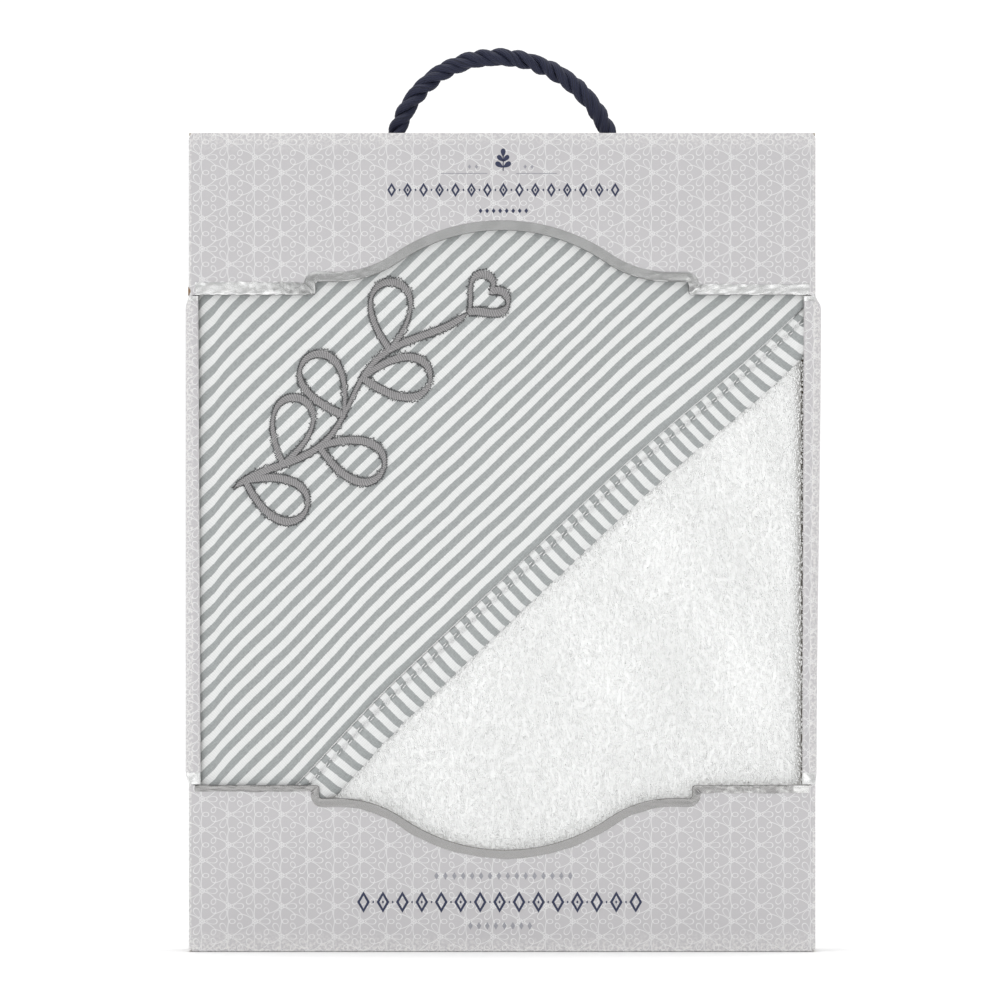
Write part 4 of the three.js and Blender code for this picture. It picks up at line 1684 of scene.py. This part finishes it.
@dataclass
class FoldedSlab:
    """The block that the folded towel fills, with the way cloth rolls over its edges."""

    face: float = -18.1
    left_start: float = -110.5
    right_start: float = 114.2
    top_start: float = 279.0
    side_out: float = 6.6
    right_out: float = 2.3
    side_deep: float = 3.2
    top_out: float = 8.6
    top_deep: float = 9.0

    def roll(self, over: Array, out: float, deep: float) -> tuple[Array, Array, Array]:
        """How cloth goes over an edge.

        Args:
            over: how far past the edge's start the cloth is, measured along itself.
            out: how far the edge reaches outwards.
            deep: how deep its round part is.

        Returns:
            The distance outwards, the depth, and the angle it has turned.
        """
        quarter = pi / 2 * sqrt((out * out + deep * deep) / 2)
        past = np.maximum(over, 0)
        angle = np.minimum(past / quarter, 1) * pi / 2
        return out * np.sin(angle), deep * (1 - np.cos(angle)) + np.maximum(past - quarter, 0), angle

    def place(self, x: Array, z: Array, lift: Array) -> Array:
        """Lays flat cloth on the slab.

        Args:
            x: place on the flat cloth.
            z: place on the flat cloth.
            lift: height over the slab's face.

        Returns:
            The points.
        """
        x, z, lift = np.broadcast_arrays(np.asarray(x, float), z, lift)
        left, left_deep, left_turn = self.roll(self.left_start - x, self.side_out, self.side_deep)
        right, right_deep, right_turn = self.roll(x - self.right_start, self.right_out, self.side_deep)
        up, up_deep, up_turn = self.roll(z - self.top_start, self.top_out, self.top_deep)
        px = np.clip(x, self.left_start, self.right_start) - left + right
        pz = np.minimum(z, self.top_start) + up
        py = self.face + left_deep + right_deep + up_deep
        nx = -np.sin(left_turn) + np.sin(right_turn)
        nz = np.sin(up_turn)
        ny = -np.cos(left_turn) * np.cos(right_turn) * np.cos(up_turn)
        size = np.sqrt(nx * nx + ny * ny + nz * nz)
        return np.stack([px + nx / size * lift, py + ny / size * lift, pz + nz / size * lift], -1)


@dataclass
class FoldedTowel:
    """The towel folded both ways, its pile, its hood and all that is sewn on it."""

    finishes: Finishes
    slab: FoldedSlab = field(default_factory=FoldedSlab)
    window: WindowShape = field(default_factory=WindowShape)
    seam_height: float = 137.9
    seam_angle: float = 43.3
    seam_bow: float = 4.5
    band_width: float = 14.0
    layer: float = 3.05
    cloth: float = 2.6
    loop_count: int = 21500

    def build(self) -> None:
        """Builds and dresses every cloth piece."""
        self.folded_cloth()
        self.pile()
        self.hood()
        self.lining()
        self.band()
        self.seam_threads()
        self.binding()
        self.label()
        Embroidery(self.finishes, self.slab).build()

    def seam(self, x: Array) -> Array:
        """The height of the hood's seam at each X."""
        return self.seam_height + np.asarray(x, float) * tan(radians(self.seam_angle)) + self.bow(x)

    def bow(self, x: Array) -> Array:
        """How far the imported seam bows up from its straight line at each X."""
        return self.seam_bow * smoothstep(x, -88, -40) * (1 - smoothstep(x, 40, 102))

    def seam_place(self, along: Array, across: Array) -> tuple[Array, Array]:
        """Flat places beside the seam.

        Args:
            along: distance along the seam from its middle.
            across: distance from it, down to the right.

        Returns:
            X and Z on the flat cloth.
        """
        a = radians(self.seam_angle)
        x = along * cos(a) + across * sin(a)
        z = self.seam_height + along * sin(a) - across * cos(a) + self.bow(along * cos(a))
        return x, z

    # ---- the cloth itself

    def fold_across(self, u: Array) -> tuple[Array, Array]:
        """The first fold, from left to right.

        Args:
            u: distance along the cloth from its hidden back edge.

        Returns:
            X, and the depth of the layer in the stack, towards the front.
        """
        t = self.layer
        legs = [("run", -82.0, -111.0, -1.5 * t), ("turn", -111.0, -1.5 * t, 1.5 * t, -1)]
        legs += [("run", -111.0, 110.5, 1.5 * t)]
        legs += [("turn", 110.5, 1.5 * t, -0.5 * t, 1), ("run", 110.5, -108.0, -0.5 * t)]
        legs += [("turn", -108.0, -0.5 * t, 0.5 * t, -1), ("run", -108.0, 112.0, 0.5 * t)]
        return self.follow(legs, u)

    def follow(self, legs: list, distance: Array) -> tuple[Array, Array]:
        """Follows straight runs and half turns.

        Args:
            legs: the runs and turns.
            distance: how far along them.

        Returns:
            The two coordinates of each place.
        """
        first, second = np.zeros_like(distance), np.zeros_like(distance)
        start = 0.0
        for leg in legs:
            if leg[0] == "run":
                _, a, b, level = leg
                length = abs(b - a)
                inside = (distance >= start) & (distance <= start + length + 1e-6)
                first[inside] = a + (b - a) * (distance[inside] - start) / length
                second[inside] = level
            else:
                _, at, low, high, sign = leg
                radius = abs(high - low) / 2
                length = pi * radius
                inside = (distance >= start) & (distance <= start + length + 1e-6)
                angle = (distance[inside] - start) / radius
                first[inside] = at + sign * radius * np.sin(angle)
                second[inside] = (low + high) / 2 - (high - low) / 2 * np.cos(angle)
            start += length
        return first, second

    def folded_cloth(self) -> None:
        """The towel as one square of terry, folded in three and then over."""
        t = self.layer
        stack = 4 * t
        u = np.concatenate([np.linspace(0, 29, 4), 29 + np.linspace(0, 14.3, 9)[1:]])
        u = np.concatenate([u, np.linspace(44.5, 263, 24), np.linspace(264, 275, 8)])
        u = np.concatenate([u, np.linspace(277, 492, 12), np.linspace(493.5, 498.5, 5)])
        u = np.concatenate([u, np.linspace(500, 716, 12)])
        x, deep = self.fold_across(u)
        rows = []
        squash = 0.55
        low = 3.6 + squash * (stack / 2 + 1.5 * t + self.cloth / 2)
        high = 287.6 - squash * (stack + 1.5 * t + self.cloth / 2)
        middle = 0.1
        for z in np.linspace(low + 160, low, 9):
            rows.append((z, 0.0, 0.0, -1.0))
        for a in np.linspace(0, pi, 13)[1:-1]:
            rows.append((low, sin(a) * -1, 0.5 - 0.5 * cos(a), -cos(a)))
        for z in np.linspace(low, high, 14):
            rows.append((z, 0.0, 1.0, 1.0))
        points = []
        for z, down, step, way in rows:
            y = middle + step * stack + (way * deep if step in (0.0, 1.0) else 0)
            if step not in (0.0, 1.0):
                radius = stack / 2 + deep
                y = middle + stack / 2 + way * radius
                points.append(np.stack([x, y, z + squash * down * radius], -1))
                continue
            points.append(np.stack([x, y, np.full(len(x), z)], -1))
        for a in np.linspace(0, pi, 17)[1:-1]:
            radius = stack + deep
            points.append(np.stack([x, middle + cos(a) * radius, high + squash * sin(a) * radius], -1))
        for z in np.linspace(high, 4.6, 30):
            points.append(np.stack([x, middle - stack - deep, np.full(len(x), z)], -1))
        cloth = np.array(points)
        cloth[..., 1] += 0.18 * ripple(cloth[..., 0], cloth[..., 2], 3, 40.0)
        v = np.cumsum(np.concatenate([[0], np.linalg.norm(np.diff(cloth[:, 30], axis=0), axis=1)]))
        uv = np.stack(np.broadcast_arrays(u[None], v[:, None]), -1)
        obj = make_object("folded_terry_towel", Patch.grid(cloth, uv), [self.finishes.terry])
        thicken(obj, self.cloth, 60, centre=True)
        seat(obj, Body.CARTON, ("towel_body",))

    def pile(self) -> None:
        """The loops of the pile where the window shows the terry, in three pieces."""
        rng = np.random.default_rng(41)
        columns, lines = 196.0, 216.0
        pitch = sqrt(columns * lines / (self.loop_count * 1.62))
        gx, gz = np.meshgrid(np.arange(-79, 119.5, pitch), np.arange(34, 250, pitch))
        x = (gx + rng.uniform(-0.5, 0.5, gx.shape) * pitch * 0.9).ravel()
        z = (gz + rng.uniform(-0.5, 0.5, gz.shape) * pitch * 0.9).ravel()
        angle = radians(self.seam_angle)
        reach = self.band_width * sin(angle)
        below = (self.seam(x - reach) + reach * tan(angle) - z) * cos(angle)
        edge = self.window.edge(0, False)
        order = np.argsort(edge[:, 0])
        sill = np.interp(x, edge[order, 0], edge[order, 1])
        keep = (below > self.band_width - 1.3) & (z > sill - 5)
        x, z, below = x[keep], z[keep], below[keep]
        flow = radians(90) + 0.3 * ripple(x, z, 7, 60.0) + rng.normal(0, 0.32, len(x))
        half = rng.uniform(0.4, 0.75, len(x))
        height = rng.uniform(0.55, 0.95, len(x))
        height += 0.5 * smoothstep(below, self.band_width + 3.0, self.band_width)
        height += 0.7 * smoothstep(x, 111.0, 114.5)
        lean = rng.normal(-0.2, 0.3, len(x))
        t = np.linspace(0, 1, 5)
        way = np.stack([np.cos(flow), np.sin(flow)], -1)
        side = np.stack([-np.sin(flow), np.cos(flow)], -1)
        along = -np.cos(pi * t)[None] * half[:, None] * (0.6 + 0.55 * np.sin(pi * t))[None]
        drop = np.sin(pi * t)[None] * lean[:, None]
        skew = np.sin(pi * t)[None] * rng.normal(0, 0.3, len(x))[:, None]
        px = x[:, None] + way[:, None, 0] * along + side[:, None, 0] * skew
        pz = z[:, None] + way[:, None, 1] * along + side[:, None, 1] * skew + drop
        lift = np.sin(pi * t)[None] ** 0.75 * height[:, None] - 0.1
        paths = self.slab.place(px, pz, lift)
        flat = np.cross(paths[:, 2] - paths[:, 0], paths[:, 2] - paths[:, 4])
        fallback = np.stack([side[:, 0], np.zeros(len(x)), side[:, 1]], -1)
        size = np.linalg.norm(flat, axis=1, keepdims=True)
        flat = np.where(size > 0.05, flat / np.maximum(size, 1e-6), fallback)
        radii = np.repeat(rng.uniform(0.17, 0.26, len(x))[:, None], 5, 1)
        low, high = np.quantile(z, 1 / 3), np.quantile(z, 2 / 3)
        thirds = (("upper", z > high), ("middle", (z > low) & (z <= high)), ("lower", z <= low))
        for name, chosen in ((f"terry_loops_{third}", some) for third, some in thirds):
            patch = many_tubes(paths[chosen], flat[chosen], radii[chosen], 3)
            obj = make_object(name, patch, [self.finishes.terry])
            seat(obj, Body.CARTON)
        log.info("pile: %d loops", len(x))

    # ---- the hood

    def hood(self) -> None:
        """The striped panel of the hood, rolled over the slab's left and top edges."""
        columns = np.concatenate([np.linspace(-128, -100, 26), np.linspace(-98, 104, 62)])
        columns = np.concatenate([columns, np.linspace(106, 119, 12)])
        share = np.linspace(0, 1, 84)
        share = np.concatenate([[0, 0.002, 0.005, 0.009], share[1:]])
        x = np.repeat(columns[None], len(share), 0)
        low = self.seam(columns) + 0.25
        high = self.slab.top_start + 13.8 + 16.0
        z = low + (high - low) * share[:, None]
        from_seam = (z - self.seam(x)) * cos(radians(self.seam_angle))
        lift = 2.15 - 0.95 * np.exp(-from_seam / 0.7)
        lift = lift + 0.16 * ripple(x, z, 9, 34.0) + 0.07 * ripple(x, z, 10, 11.0)
        points = self.slab.place(x, z, lift)
        a = radians(self.seam_angle)
        drop = 5.0 * np.exp(-(x + 115.0) / 5.0)
        drift = 0.5 * ripple(x, z, 13, 95.0) * smoothstep(from_seam, 0, 30)
        drift = drift + self.bow(x) * cos(a) * smoothstep(from_seam, 4, 110)
        uv = np.stack([x * cos(a) + z * sin(a), from_seam + drop * cos(a) + drift], -1)
        obj = make_object("striped_hood_panel", Patch.grid(points, uv), [self.finishes.jersey])
        flip_towards(obj, (0, -1, 0))
        thicken(obj, 0.6, 60)
        seat(obj, Body.CARTON, ("hood_panel",))

    def lining(self) -> None:
        """The terry back of the hood."""
        columns = np.linspace(-116, 112, 40)
        share = np.linspace(0, 1, 30)
        x = np.repeat(columns[None], len(share), 0)
        low = self.seam(columns) - 9.0
        z = low + (self.slab.top_start + 6.0 - low) * share[:, None]
        points = self.slab.place(x, z, np.full(x.shape, 0.95))
        patch = Patch.grid(points, np.stack([x, z], -1))
        obj = make_object("hood_terry_lining", patch, [self.finishes.terry])
        flip_towards(obj, (0, -1, 0))
        thicken(obj, 0.7, 60)
        seat(obj, Body.CARTON, ("hood_lining",))

    def band(self) -> None:
        """The doubled band on the hood's open edge, pinched along its stitching."""
        along = np.linspace(-158, 168, 330)
        profile = [(0.15, 0.35), (0.2, 1.0), (0.6, 1.75), (1.3, 2.2), (2.2, 2.35), (2.9, 2.1), (3.3, 1.75)]
        profile += [(3.7, 1.75), (4.1, 2.15), (5.0, 2.6), (6.5, 2.9), (8.5, 3.0), (10.3, 2.9), (11.8, 2.6)]
        profile += [(12.9, 2.1), (13.7, 1.45), (14.0, 0.9), (13.8, 0.5), (13.0, 0.35), (11.0, 0.3)]
        profile += [(6.0, 0.3), (0.6, 0.25), (0.15, 0.35)]
        across = np.array([p[0] for p in profile])
        height = np.array([p[1] for p in profile])
        a, s = np.meshgrid(along, across, indexing="ij")
        h = np.repeat(height[None], len(along), 0)
        soft = 0.16 * ripple(a, s * 0.4, 15, 17.0) + 0.1 * np.sin(2 * pi * a / 5.65)
        pinch = 0.14 * np.sin(2 * pi * a / 2.83) * np.exp(-((s - 3.5) ** 2) / 1.2)
        h = h + (soft + pinch) * smoothstep(h, 0.9, 2.2)
        s_wavy = s + 0.22 * ripple(a, 0 * a, 16, 14.0) * smoothstep(s, 9, 13)
        x, z = self.seam_place(a, s_wavy)
        keep = (x[:, 0] > -117) & (x[:, 0] < 121)
        points = self.slab.place(x[keep], z[keep], h[keep])
        lean = 0.12 * smoothstep(a, -50, -90) + 0.15 * smoothstep(a, 110, 135)
        kink = 0.5 * smoothstep(s, 3.1, 3.9) - 0.35 * smoothstep(s, 11.5, 14.0)
        stripe = (a - lean * s + kink + 0.3 * ripple(a, 0 * a, 17, 30.0)) * 5.5 / 5.65
        uv = np.stack([s, stripe], -1)[keep]
        obj = make_object("hood_trim", Patch.grid(points, uv), [self.finishes.jersey])
        flip_towards(obj, (0, -1, 0))
        settle(obj)
        seat(obj, Body.CARTON, ("hood_trim_band",))

    def seam_threads(self) -> None:
        """Two rows of running stitches on the band and the pale thread in the seam."""
        rng = np.random.default_rng(51)
        paths = []
        t = np.linspace(-0.5, 0.5, 7)
        for row, across in enumerate((2.95, 4.0)):
            for middle in np.arange(-152, 160, 2.83):
                at = middle + row * 0.5 + rng.uniform(-0.15, 0.15)
                along = at + t * rng.uniform(1.7, 2.1)
                off = across + rng.uniform(-0.12, 0.12) + t * rng.uniform(-0.2, 0.2)
                x, z = self.seam_place(along, off)
                if -117 < x[0] < 116:
                    paths.append(self.slab.place(x, z, 2.2 + 0.36 * np.cos(pi * t)))
        paths = np.array(paths)
        radii = np.repeat((0.22 * np.sqrt(np.maximum(1.0 - (2 * t) ** 4, 0.03)))[None], len(paths), 0)
        flat = np.repeat(np.array([[0.0, -1.0, 0.0]]), len(paths), 0)
        obj = make_object("band_stitching", many_tubes(paths, flat, radii, 6), [self.finishes.sewing])
        seat(obj, Body.CARTON)
        along = np.linspace(-150, 20, 240)
        x, z = self.seam_place(along, 0.05 + 0.08 * np.sin(along * 1.7))
        fade = smoothstep(along, 20, -25)
        path = self.slab.place(x, z, 0.9 + 0.75 * fade + 0.06 * np.sin(along * 4.0))[None]
        thin = np.full((1, len(along)), 0.2)
        obj = make_object("seam_thread", many_tubes(path, flat[:1], thin, 6), [self.finishes.sewing])
        seat(obj, Body.CARTON)

    # ---- hidden cloth

    def binding(self) -> None:
        """The striped binding on the towel's hidden edges."""
        centre = [(-85.0, 11.6), (-85.0, 262.0)] + arc(-83.0, 262.0, 2.0, pi, pi / 2, 6)[1:]
        centre += [(109.0, 264.0)]
        line = [np.array(centre[0])]
        for p in centre[1:]:
            steps = max(1, int(np.linalg.norm(np.array(p) - line[-1]) / 3))
            line += [line[-1] + (np.array(p) - line[-1]) * (k + 1) / steps for k in range(steps)]
        line = np.array(line)
        along = lengths(line)
        way = np.gradient(line, axis=0)
        way /= np.linalg.norm(way, axis=1, keepdims=True)
        side = np.stack([-way[:, 1], way[:, 0]], -1)
        profile = [(-3.8, 0.1), (-3.9, 0.4), (-3.2, 0.9), (-1.5, 1.15), (1.5, 1.15)]
        profile += [(3.2, 0.9), (3.9, 0.4), (3.8, 0.1), (-3.8, 0.1)]
        columns = []
        for across, high in profile:
            flat = line + side * across
            columns.append(np.stack([flat[:, 0], np.full(len(flat), 18.8) + high, flat[:, 1]], -1))
        points = np.stack(columns, 1)
        uv = np.stack(np.broadcast_arrays(np.arange(len(profile))[None] * 1.0, along[:, None]), -1)
        obj = make_object("edge_binding", Patch.grid(points, uv), [self.finishes.jersey])
        seat(obj, Body.CARTON, ("towel_edge_binding",))

    def label(self) -> None:
        """A blank folded care label sewn into the binding."""
        x, z = np.meshgrid(np.linspace(-80.9, -60.8, 12), np.linspace(60, 92, 16))
        y = 18.95 + 0.12 * ripple(x, z, 19, 18.0)
        patch = Patch.grid(np.stack([x, y, z], -1), np.stack([x, z], -1))
        obj = make_object("blank_care_label", patch, [self.finishes.ribbon])
        thicken(obj, 0.25, 50)
        seat(obj, Body.CARTON, ("care_label",))


@dataclass
class Embroidery:
    """A satin-stitched sprig that ends in a heart, with a dark outline."""

    finishes: Finishes
    slab: FoldedSlab
    middle_x: float = -58.0
    middle_z: float = 211.0
    turn: float = 42.0
    length: float = 112.0
    wave: float = 5.0
    leaf_length: float = 26.0
    leaf_width: float = 13.0
    leaf_turn: float = 58.0
    leaf_pairs: int = 3
    heart: float = 17.0
    stitch: float = 0.42
    face_lift: float = 2.2

    def build(self) -> None:
        """Sews every stroke."""
        strokes = [(self.stem(), False, 2.4)]
        count = 2 * self.leaf_pairs
        for k in range(count):
            side = 1 if k % 2 else -1
            pair = k // 2
            at = -0.45 + (pair + (0.5 if side > 0 else 0.0)) * 0.8 / self.leaf_pairs
            strokes.append((self.leaf(at, side), True, 2.4))
        strokes.append((self.heart_line(), True, 2.5))
        satin, outline = [], []
        for k, (line, closed, width) in enumerate(strokes):
            first, second = self.stroke(line, closed, width, 60 + k)
            satin.append(first)
            outline += second
        obj = make_object("satin_stitching", Patch.joined(satin), [self.finishes.satin])
        flip_towards(obj, (0, -1, 0))
        seat(obj, Body.CARTON, ("embroidered_motif",))
        edge = make_object("stitched_outline", Patch.joined(outline), [self.finishes.outline])
        seat(edge, Body.CARTON)

    def stem_point(self, s: Array) -> Array:
        """A point of the stem, for s from -0.5 to 0.5."""
        s = np.asarray(s, float)
        return np.stack([s * self.length, self.wave * np.sin(3 * pi * s)], -1)

    def stem_way(self, s: float) -> float:
        """The stem's direction in radians."""
        a, b = self.stem_point(s - 0.001), self.stem_point(s + 0.001)
        return atan2(b[1] - a[1], b[0] - a[0])

    def stem(self) -> Array:
        """The stem's line."""
        return self.stem_point(np.linspace(-0.5, 0.5, 120))

    def leaf(self, at: float, side: int) -> Array:
        """A leaf's line.

        Args:
            at: its place on the stem.
            side: 1 to the left of the stem's way, -1 to the right.

        Returns:
            The closed line.
        """
        a = np.linspace(0, 2 * pi, 90, endpoint=False)
        along = self.leaf_length / 2 * (1 - np.cos(a))
        across = self.leaf_width * 0.77 * np.sin(a) * np.sin(a / 2)
        turn = self.stem_way(at) + side * radians(self.leaf_turn)
        x = along * cos(turn) - across * sin(turn)
        z = along * sin(turn) + across * cos(turn)
        return self.stem_point(at) + np.stack([x, z], -1)

    def heart_line(self) -> Array:
        """The heart's line at the stem's end."""
        a = np.linspace(0, 2 * pi, 110, endpoint=False)
        unit = self.heart / 32
        x = unit * 16 * np.sin(a) ** 3
        z = unit * (13 * np.cos(a) - 5 * np.cos(2 * a) - 2 * np.cos(3 * a) - np.cos(4 * a))
        turn = self.stem_way(0.499) - pi / 2
        rise = z + unit * 17
        flat = np.stack([x * cos(turn) - rise * sin(turn), x * sin(turn) + rise * cos(turn)], -1)
        return self.stem_point(0.5) + flat

    def stroke(self, line: Array, closed: bool, width: float, seed: int) -> tuple[Patch, list[Patch]]:
        """One satin-stitched stroke, thick and thin like a pen's.

        Args:
            line: its middle line.
            closed: whether it returns to its start.
            width: its usual width.
            seed: picks its unevenness.

        Returns:
            The stitching, and the threads on its two edges.
        """
        rng = np.random.default_rng(seed)
        line = np.concatenate([line, line[:1]]) if closed else line
        step = lengths(line)
        count = int(step[-1] / (self.stitch / 2))
        even = np.linspace(0, step[-1], count)
        flat = np.stack([np.interp(even, step, line[:, k]) for k in range(2)], 1)
        way = np.gradient(flat, axis=0)
        if closed:
            way[0] = way[-1] = flat[1] - flat[-2]
        way /= np.linalg.norm(way, axis=1, keepdims=True)
        side = np.stack([-way[:, 1], way[:, 0]], -1)
        pen = radians(35)
        slant = np.abs(way[:, 0] * sin(pen) - way[:, 1] * cos(pen))
        half = width / 2 * (0.42 + 0.78 * slant)
        if not closed:
            half *= smoothstep(np.minimum(even, step[-1] - even), -0.6, 5.0)
        ridge = np.where(np.arange(count) % 2 == 0, 0.12, -0.04)[:, None]
        shape = np.array([-1.0, -0.92, -0.7, -0.35, 0.0, 0.35, 0.7, 0.92, 1.0])
        crown = 0.16 + 0.46 * np.sqrt(np.maximum(1 - shape**2, 0)) ** 0.8
        ragged = 1 + rng.uniform(-0.05, 0.07, (count, 1)) * (np.abs(shape) > 0.8)
        across = shape[None] * half[:, None] * ragged
        lift = self.face_lift + crown[None] + ridge * (np.abs(shape) < 0.95)
        lift = lift + 0.05 * np.sin(even * 0.9)[:, None]
        lift[:, [0, -1]] = self.face_lift - 0.25
        points = self.on_hood(flat[:, None] + side[:, None] * across[..., None], lift)
        uv = np.stack(np.broadcast_arrays(shape[None] * 1.5, even[:, None]), -1)
        edges = []
        for sign in (-1, 1):
            offset = sign * (half + 0.12)
            jog = np.cos(np.arange(count) * pi / 2) * 0.27
            spikes = sign * rng.random(count) ** 4 * 0.8
            thread = flat + side * (offset + jog + spikes + rng.uniform(-0.12, 0.12, count))[:, None]
            pick = thread[::2]
            high = self.face_lift + 0.18 + 0.1 * np.cos(np.arange(len(pick)) * pi)
            path = self.on_hood(pick, high)[None]
            radii = 0.19 + 0.05 * np.cos(np.arange(len(pick)) * pi)[None]
            edges.append(many_tubes(path, np.array([[0.0, -1.0, 0.0]]), radii, 6))
        return Patch.grid(points, uv), edges

    def on_hood(self, flat: Array, lift: Array) -> Array:
        """Lays the motif's own plane on the hood.

        Args:
            flat: places in the motif's plane.
            lift: heights over the slab's face.

        Returns:
            The points.
        """
        a = radians(self.turn)
        x = self.middle_x + flat[..., 0] * cos(a) - flat[..., 1] * sin(a)
        z = self.middle_z + flat[..., 0] * sin(a) + flat[..., 1] * cos(a)
        return self.slab.place(x, z, lift)


# ---- studio


@dataclass
class Studio:
    """A pale floor under a soft overhead light, a bright room that is dimmer in front, and the camera."""

    frame_width: float = 382.8
    aim_x: float = -0.8
    aim_y: float = -22.3
    aim_z: float = 173.0
    distance: float = 5200.0
    sensor: float = 36.0
    front: float = 0.48
    room: float = 0.64
    behind: float = 1.08
    overhead: float = 1.6
    key_watts: float = 4.2
    fill_watts: float = 0.18

    def build(self) -> None:
        """Sets the studio up."""
        self.floor()
        self.room_light()
        self.lamps()
        self.camera()
        bpy.context.scene.view_settings.view_transform = "Standard"

    def floor(self) -> None:
        """The sheet of paper that everything stands on."""
        half, steps = 9000.0, 13
        x, y = np.meshgrid(np.linspace(-half, half, steps), np.linspace(-half, half, steps))
        points = np.stack([x, y, np.full(x.shape, -0.05)], -1)
        obj = make_object("studio_floor", Patch.grid(points, points[..., :2]), [StudioPaper().material()])

    def room_light(self) -> None:
        """The room's light, which rises smoothly from the front to the back."""
        world = bpy.data.worlds.new("studio")
        bpy.context.scene.world = world
        world.use_nodes = True
        tree = world.node_tree
        way = tree.nodes.new("ShaderNodeTexCoord")
        split = tree.nodes.new("ShaderNodeSeparateXYZ")
        tree.links.new(way.outputs["Generated"], split.inputs[0])
        total = tree.nodes.new("ShaderNodeMath")
        ranges = ((-1.0, -0.6, self.front, self.room), (0.1, 0.7, 0.0, self.behind - self.room))
        for i, values in enumerate(ranges):
            level = tree.nodes.new("ShaderNodeMapRange")
            level.interpolation_type = "SMOOTHSTEP"
            for k, value in enumerate(values):
                level.inputs[k + 1].default_value = value
            tree.links.new(split.outputs[1], level.inputs[0])
            tree.links.new(level.outputs[0], total.inputs[i])
        tree.links.new(total.outputs[0], tree.nodes["Background"].inputs["Strength"])
        tree.nodes["Background"].inputs["Color"].default_value = (1, 1, 1, 1)

    def lamps(self) -> None:
        """The soft overhead light and the key light from the upper left."""
        sun = bpy.data.lights.new("overhead", "SUN")
        sun.energy = self.overhead
        sun.angle = radians(50)
        bpy.context.scene.collection.objects.link(bpy.data.objects.new("overhead", sun))
        self.soft_box("key", self.key_watts, 0.7, (-0.75, -1.5, 1.35), 0.17)
        fill = self.soft_box("low_fill", self.fill_watts, 0.3, (0.0, -0.4, 0.03), 0.0)
        fill.visible_camera = False
        fill.visible_glossy = False

    def soft_box(self, name: str, watts: float, size: float, place: tuple, aim: float) -> Object:
        """A square lamp that looks at the carton.

        Args:
            name: its name.
            watts: its power.
            size: its width in metres.
            place: where it hangs, in metres.
            aim: the height that it looks at, in metres.

        Returns:
            The lamp.
        """
        data = bpy.data.lights.new(name, "AREA")
        data.energy = watts
        data.size = size
        lamp = bpy.data.objects.new(name, data)
        lamp.location = place
        lamp.rotation_euler = (Vector((0, 0, aim)) - lamp.location).to_track_quat("-Z", "Y").to_euler()
        bpy.context.scene.collection.objects.link(lamp)
        return lamp

    def camera(self) -> None:
        """The camera, level and straight in front."""
        data = bpy.data.cameras.new("camera")
        data.sensor_width = self.sensor
        data.lens = self.sensor * self.distance / self.frame_width
        data.clip_end = 100
        obj = bpy.data.objects.new("camera", data)
        obj.location = (self.aim_x * MM, (self.aim_y - self.distance) * MM, self.aim_z * MM)
        obj.rotation_euler = (pi / 2, 0, 0)
        bpy.context.scene.collection.objects.link(obj)
        bpy.context.scene.camera = obj


def main() -> None:
    """Builds the carton, its lid and handle, the towel and the studio."""
    logging.basicConfig(level=logging.INFO, format="%(name)s %(message)s")
    Studio().build()
    finishes = Finishes()
    Carton(finishes).build()
    Lid(finishes).build()
    RopeHandle(finishes).build()
    FoldedTowel(finishes).build()


if __name__ == "__main__":
    main()
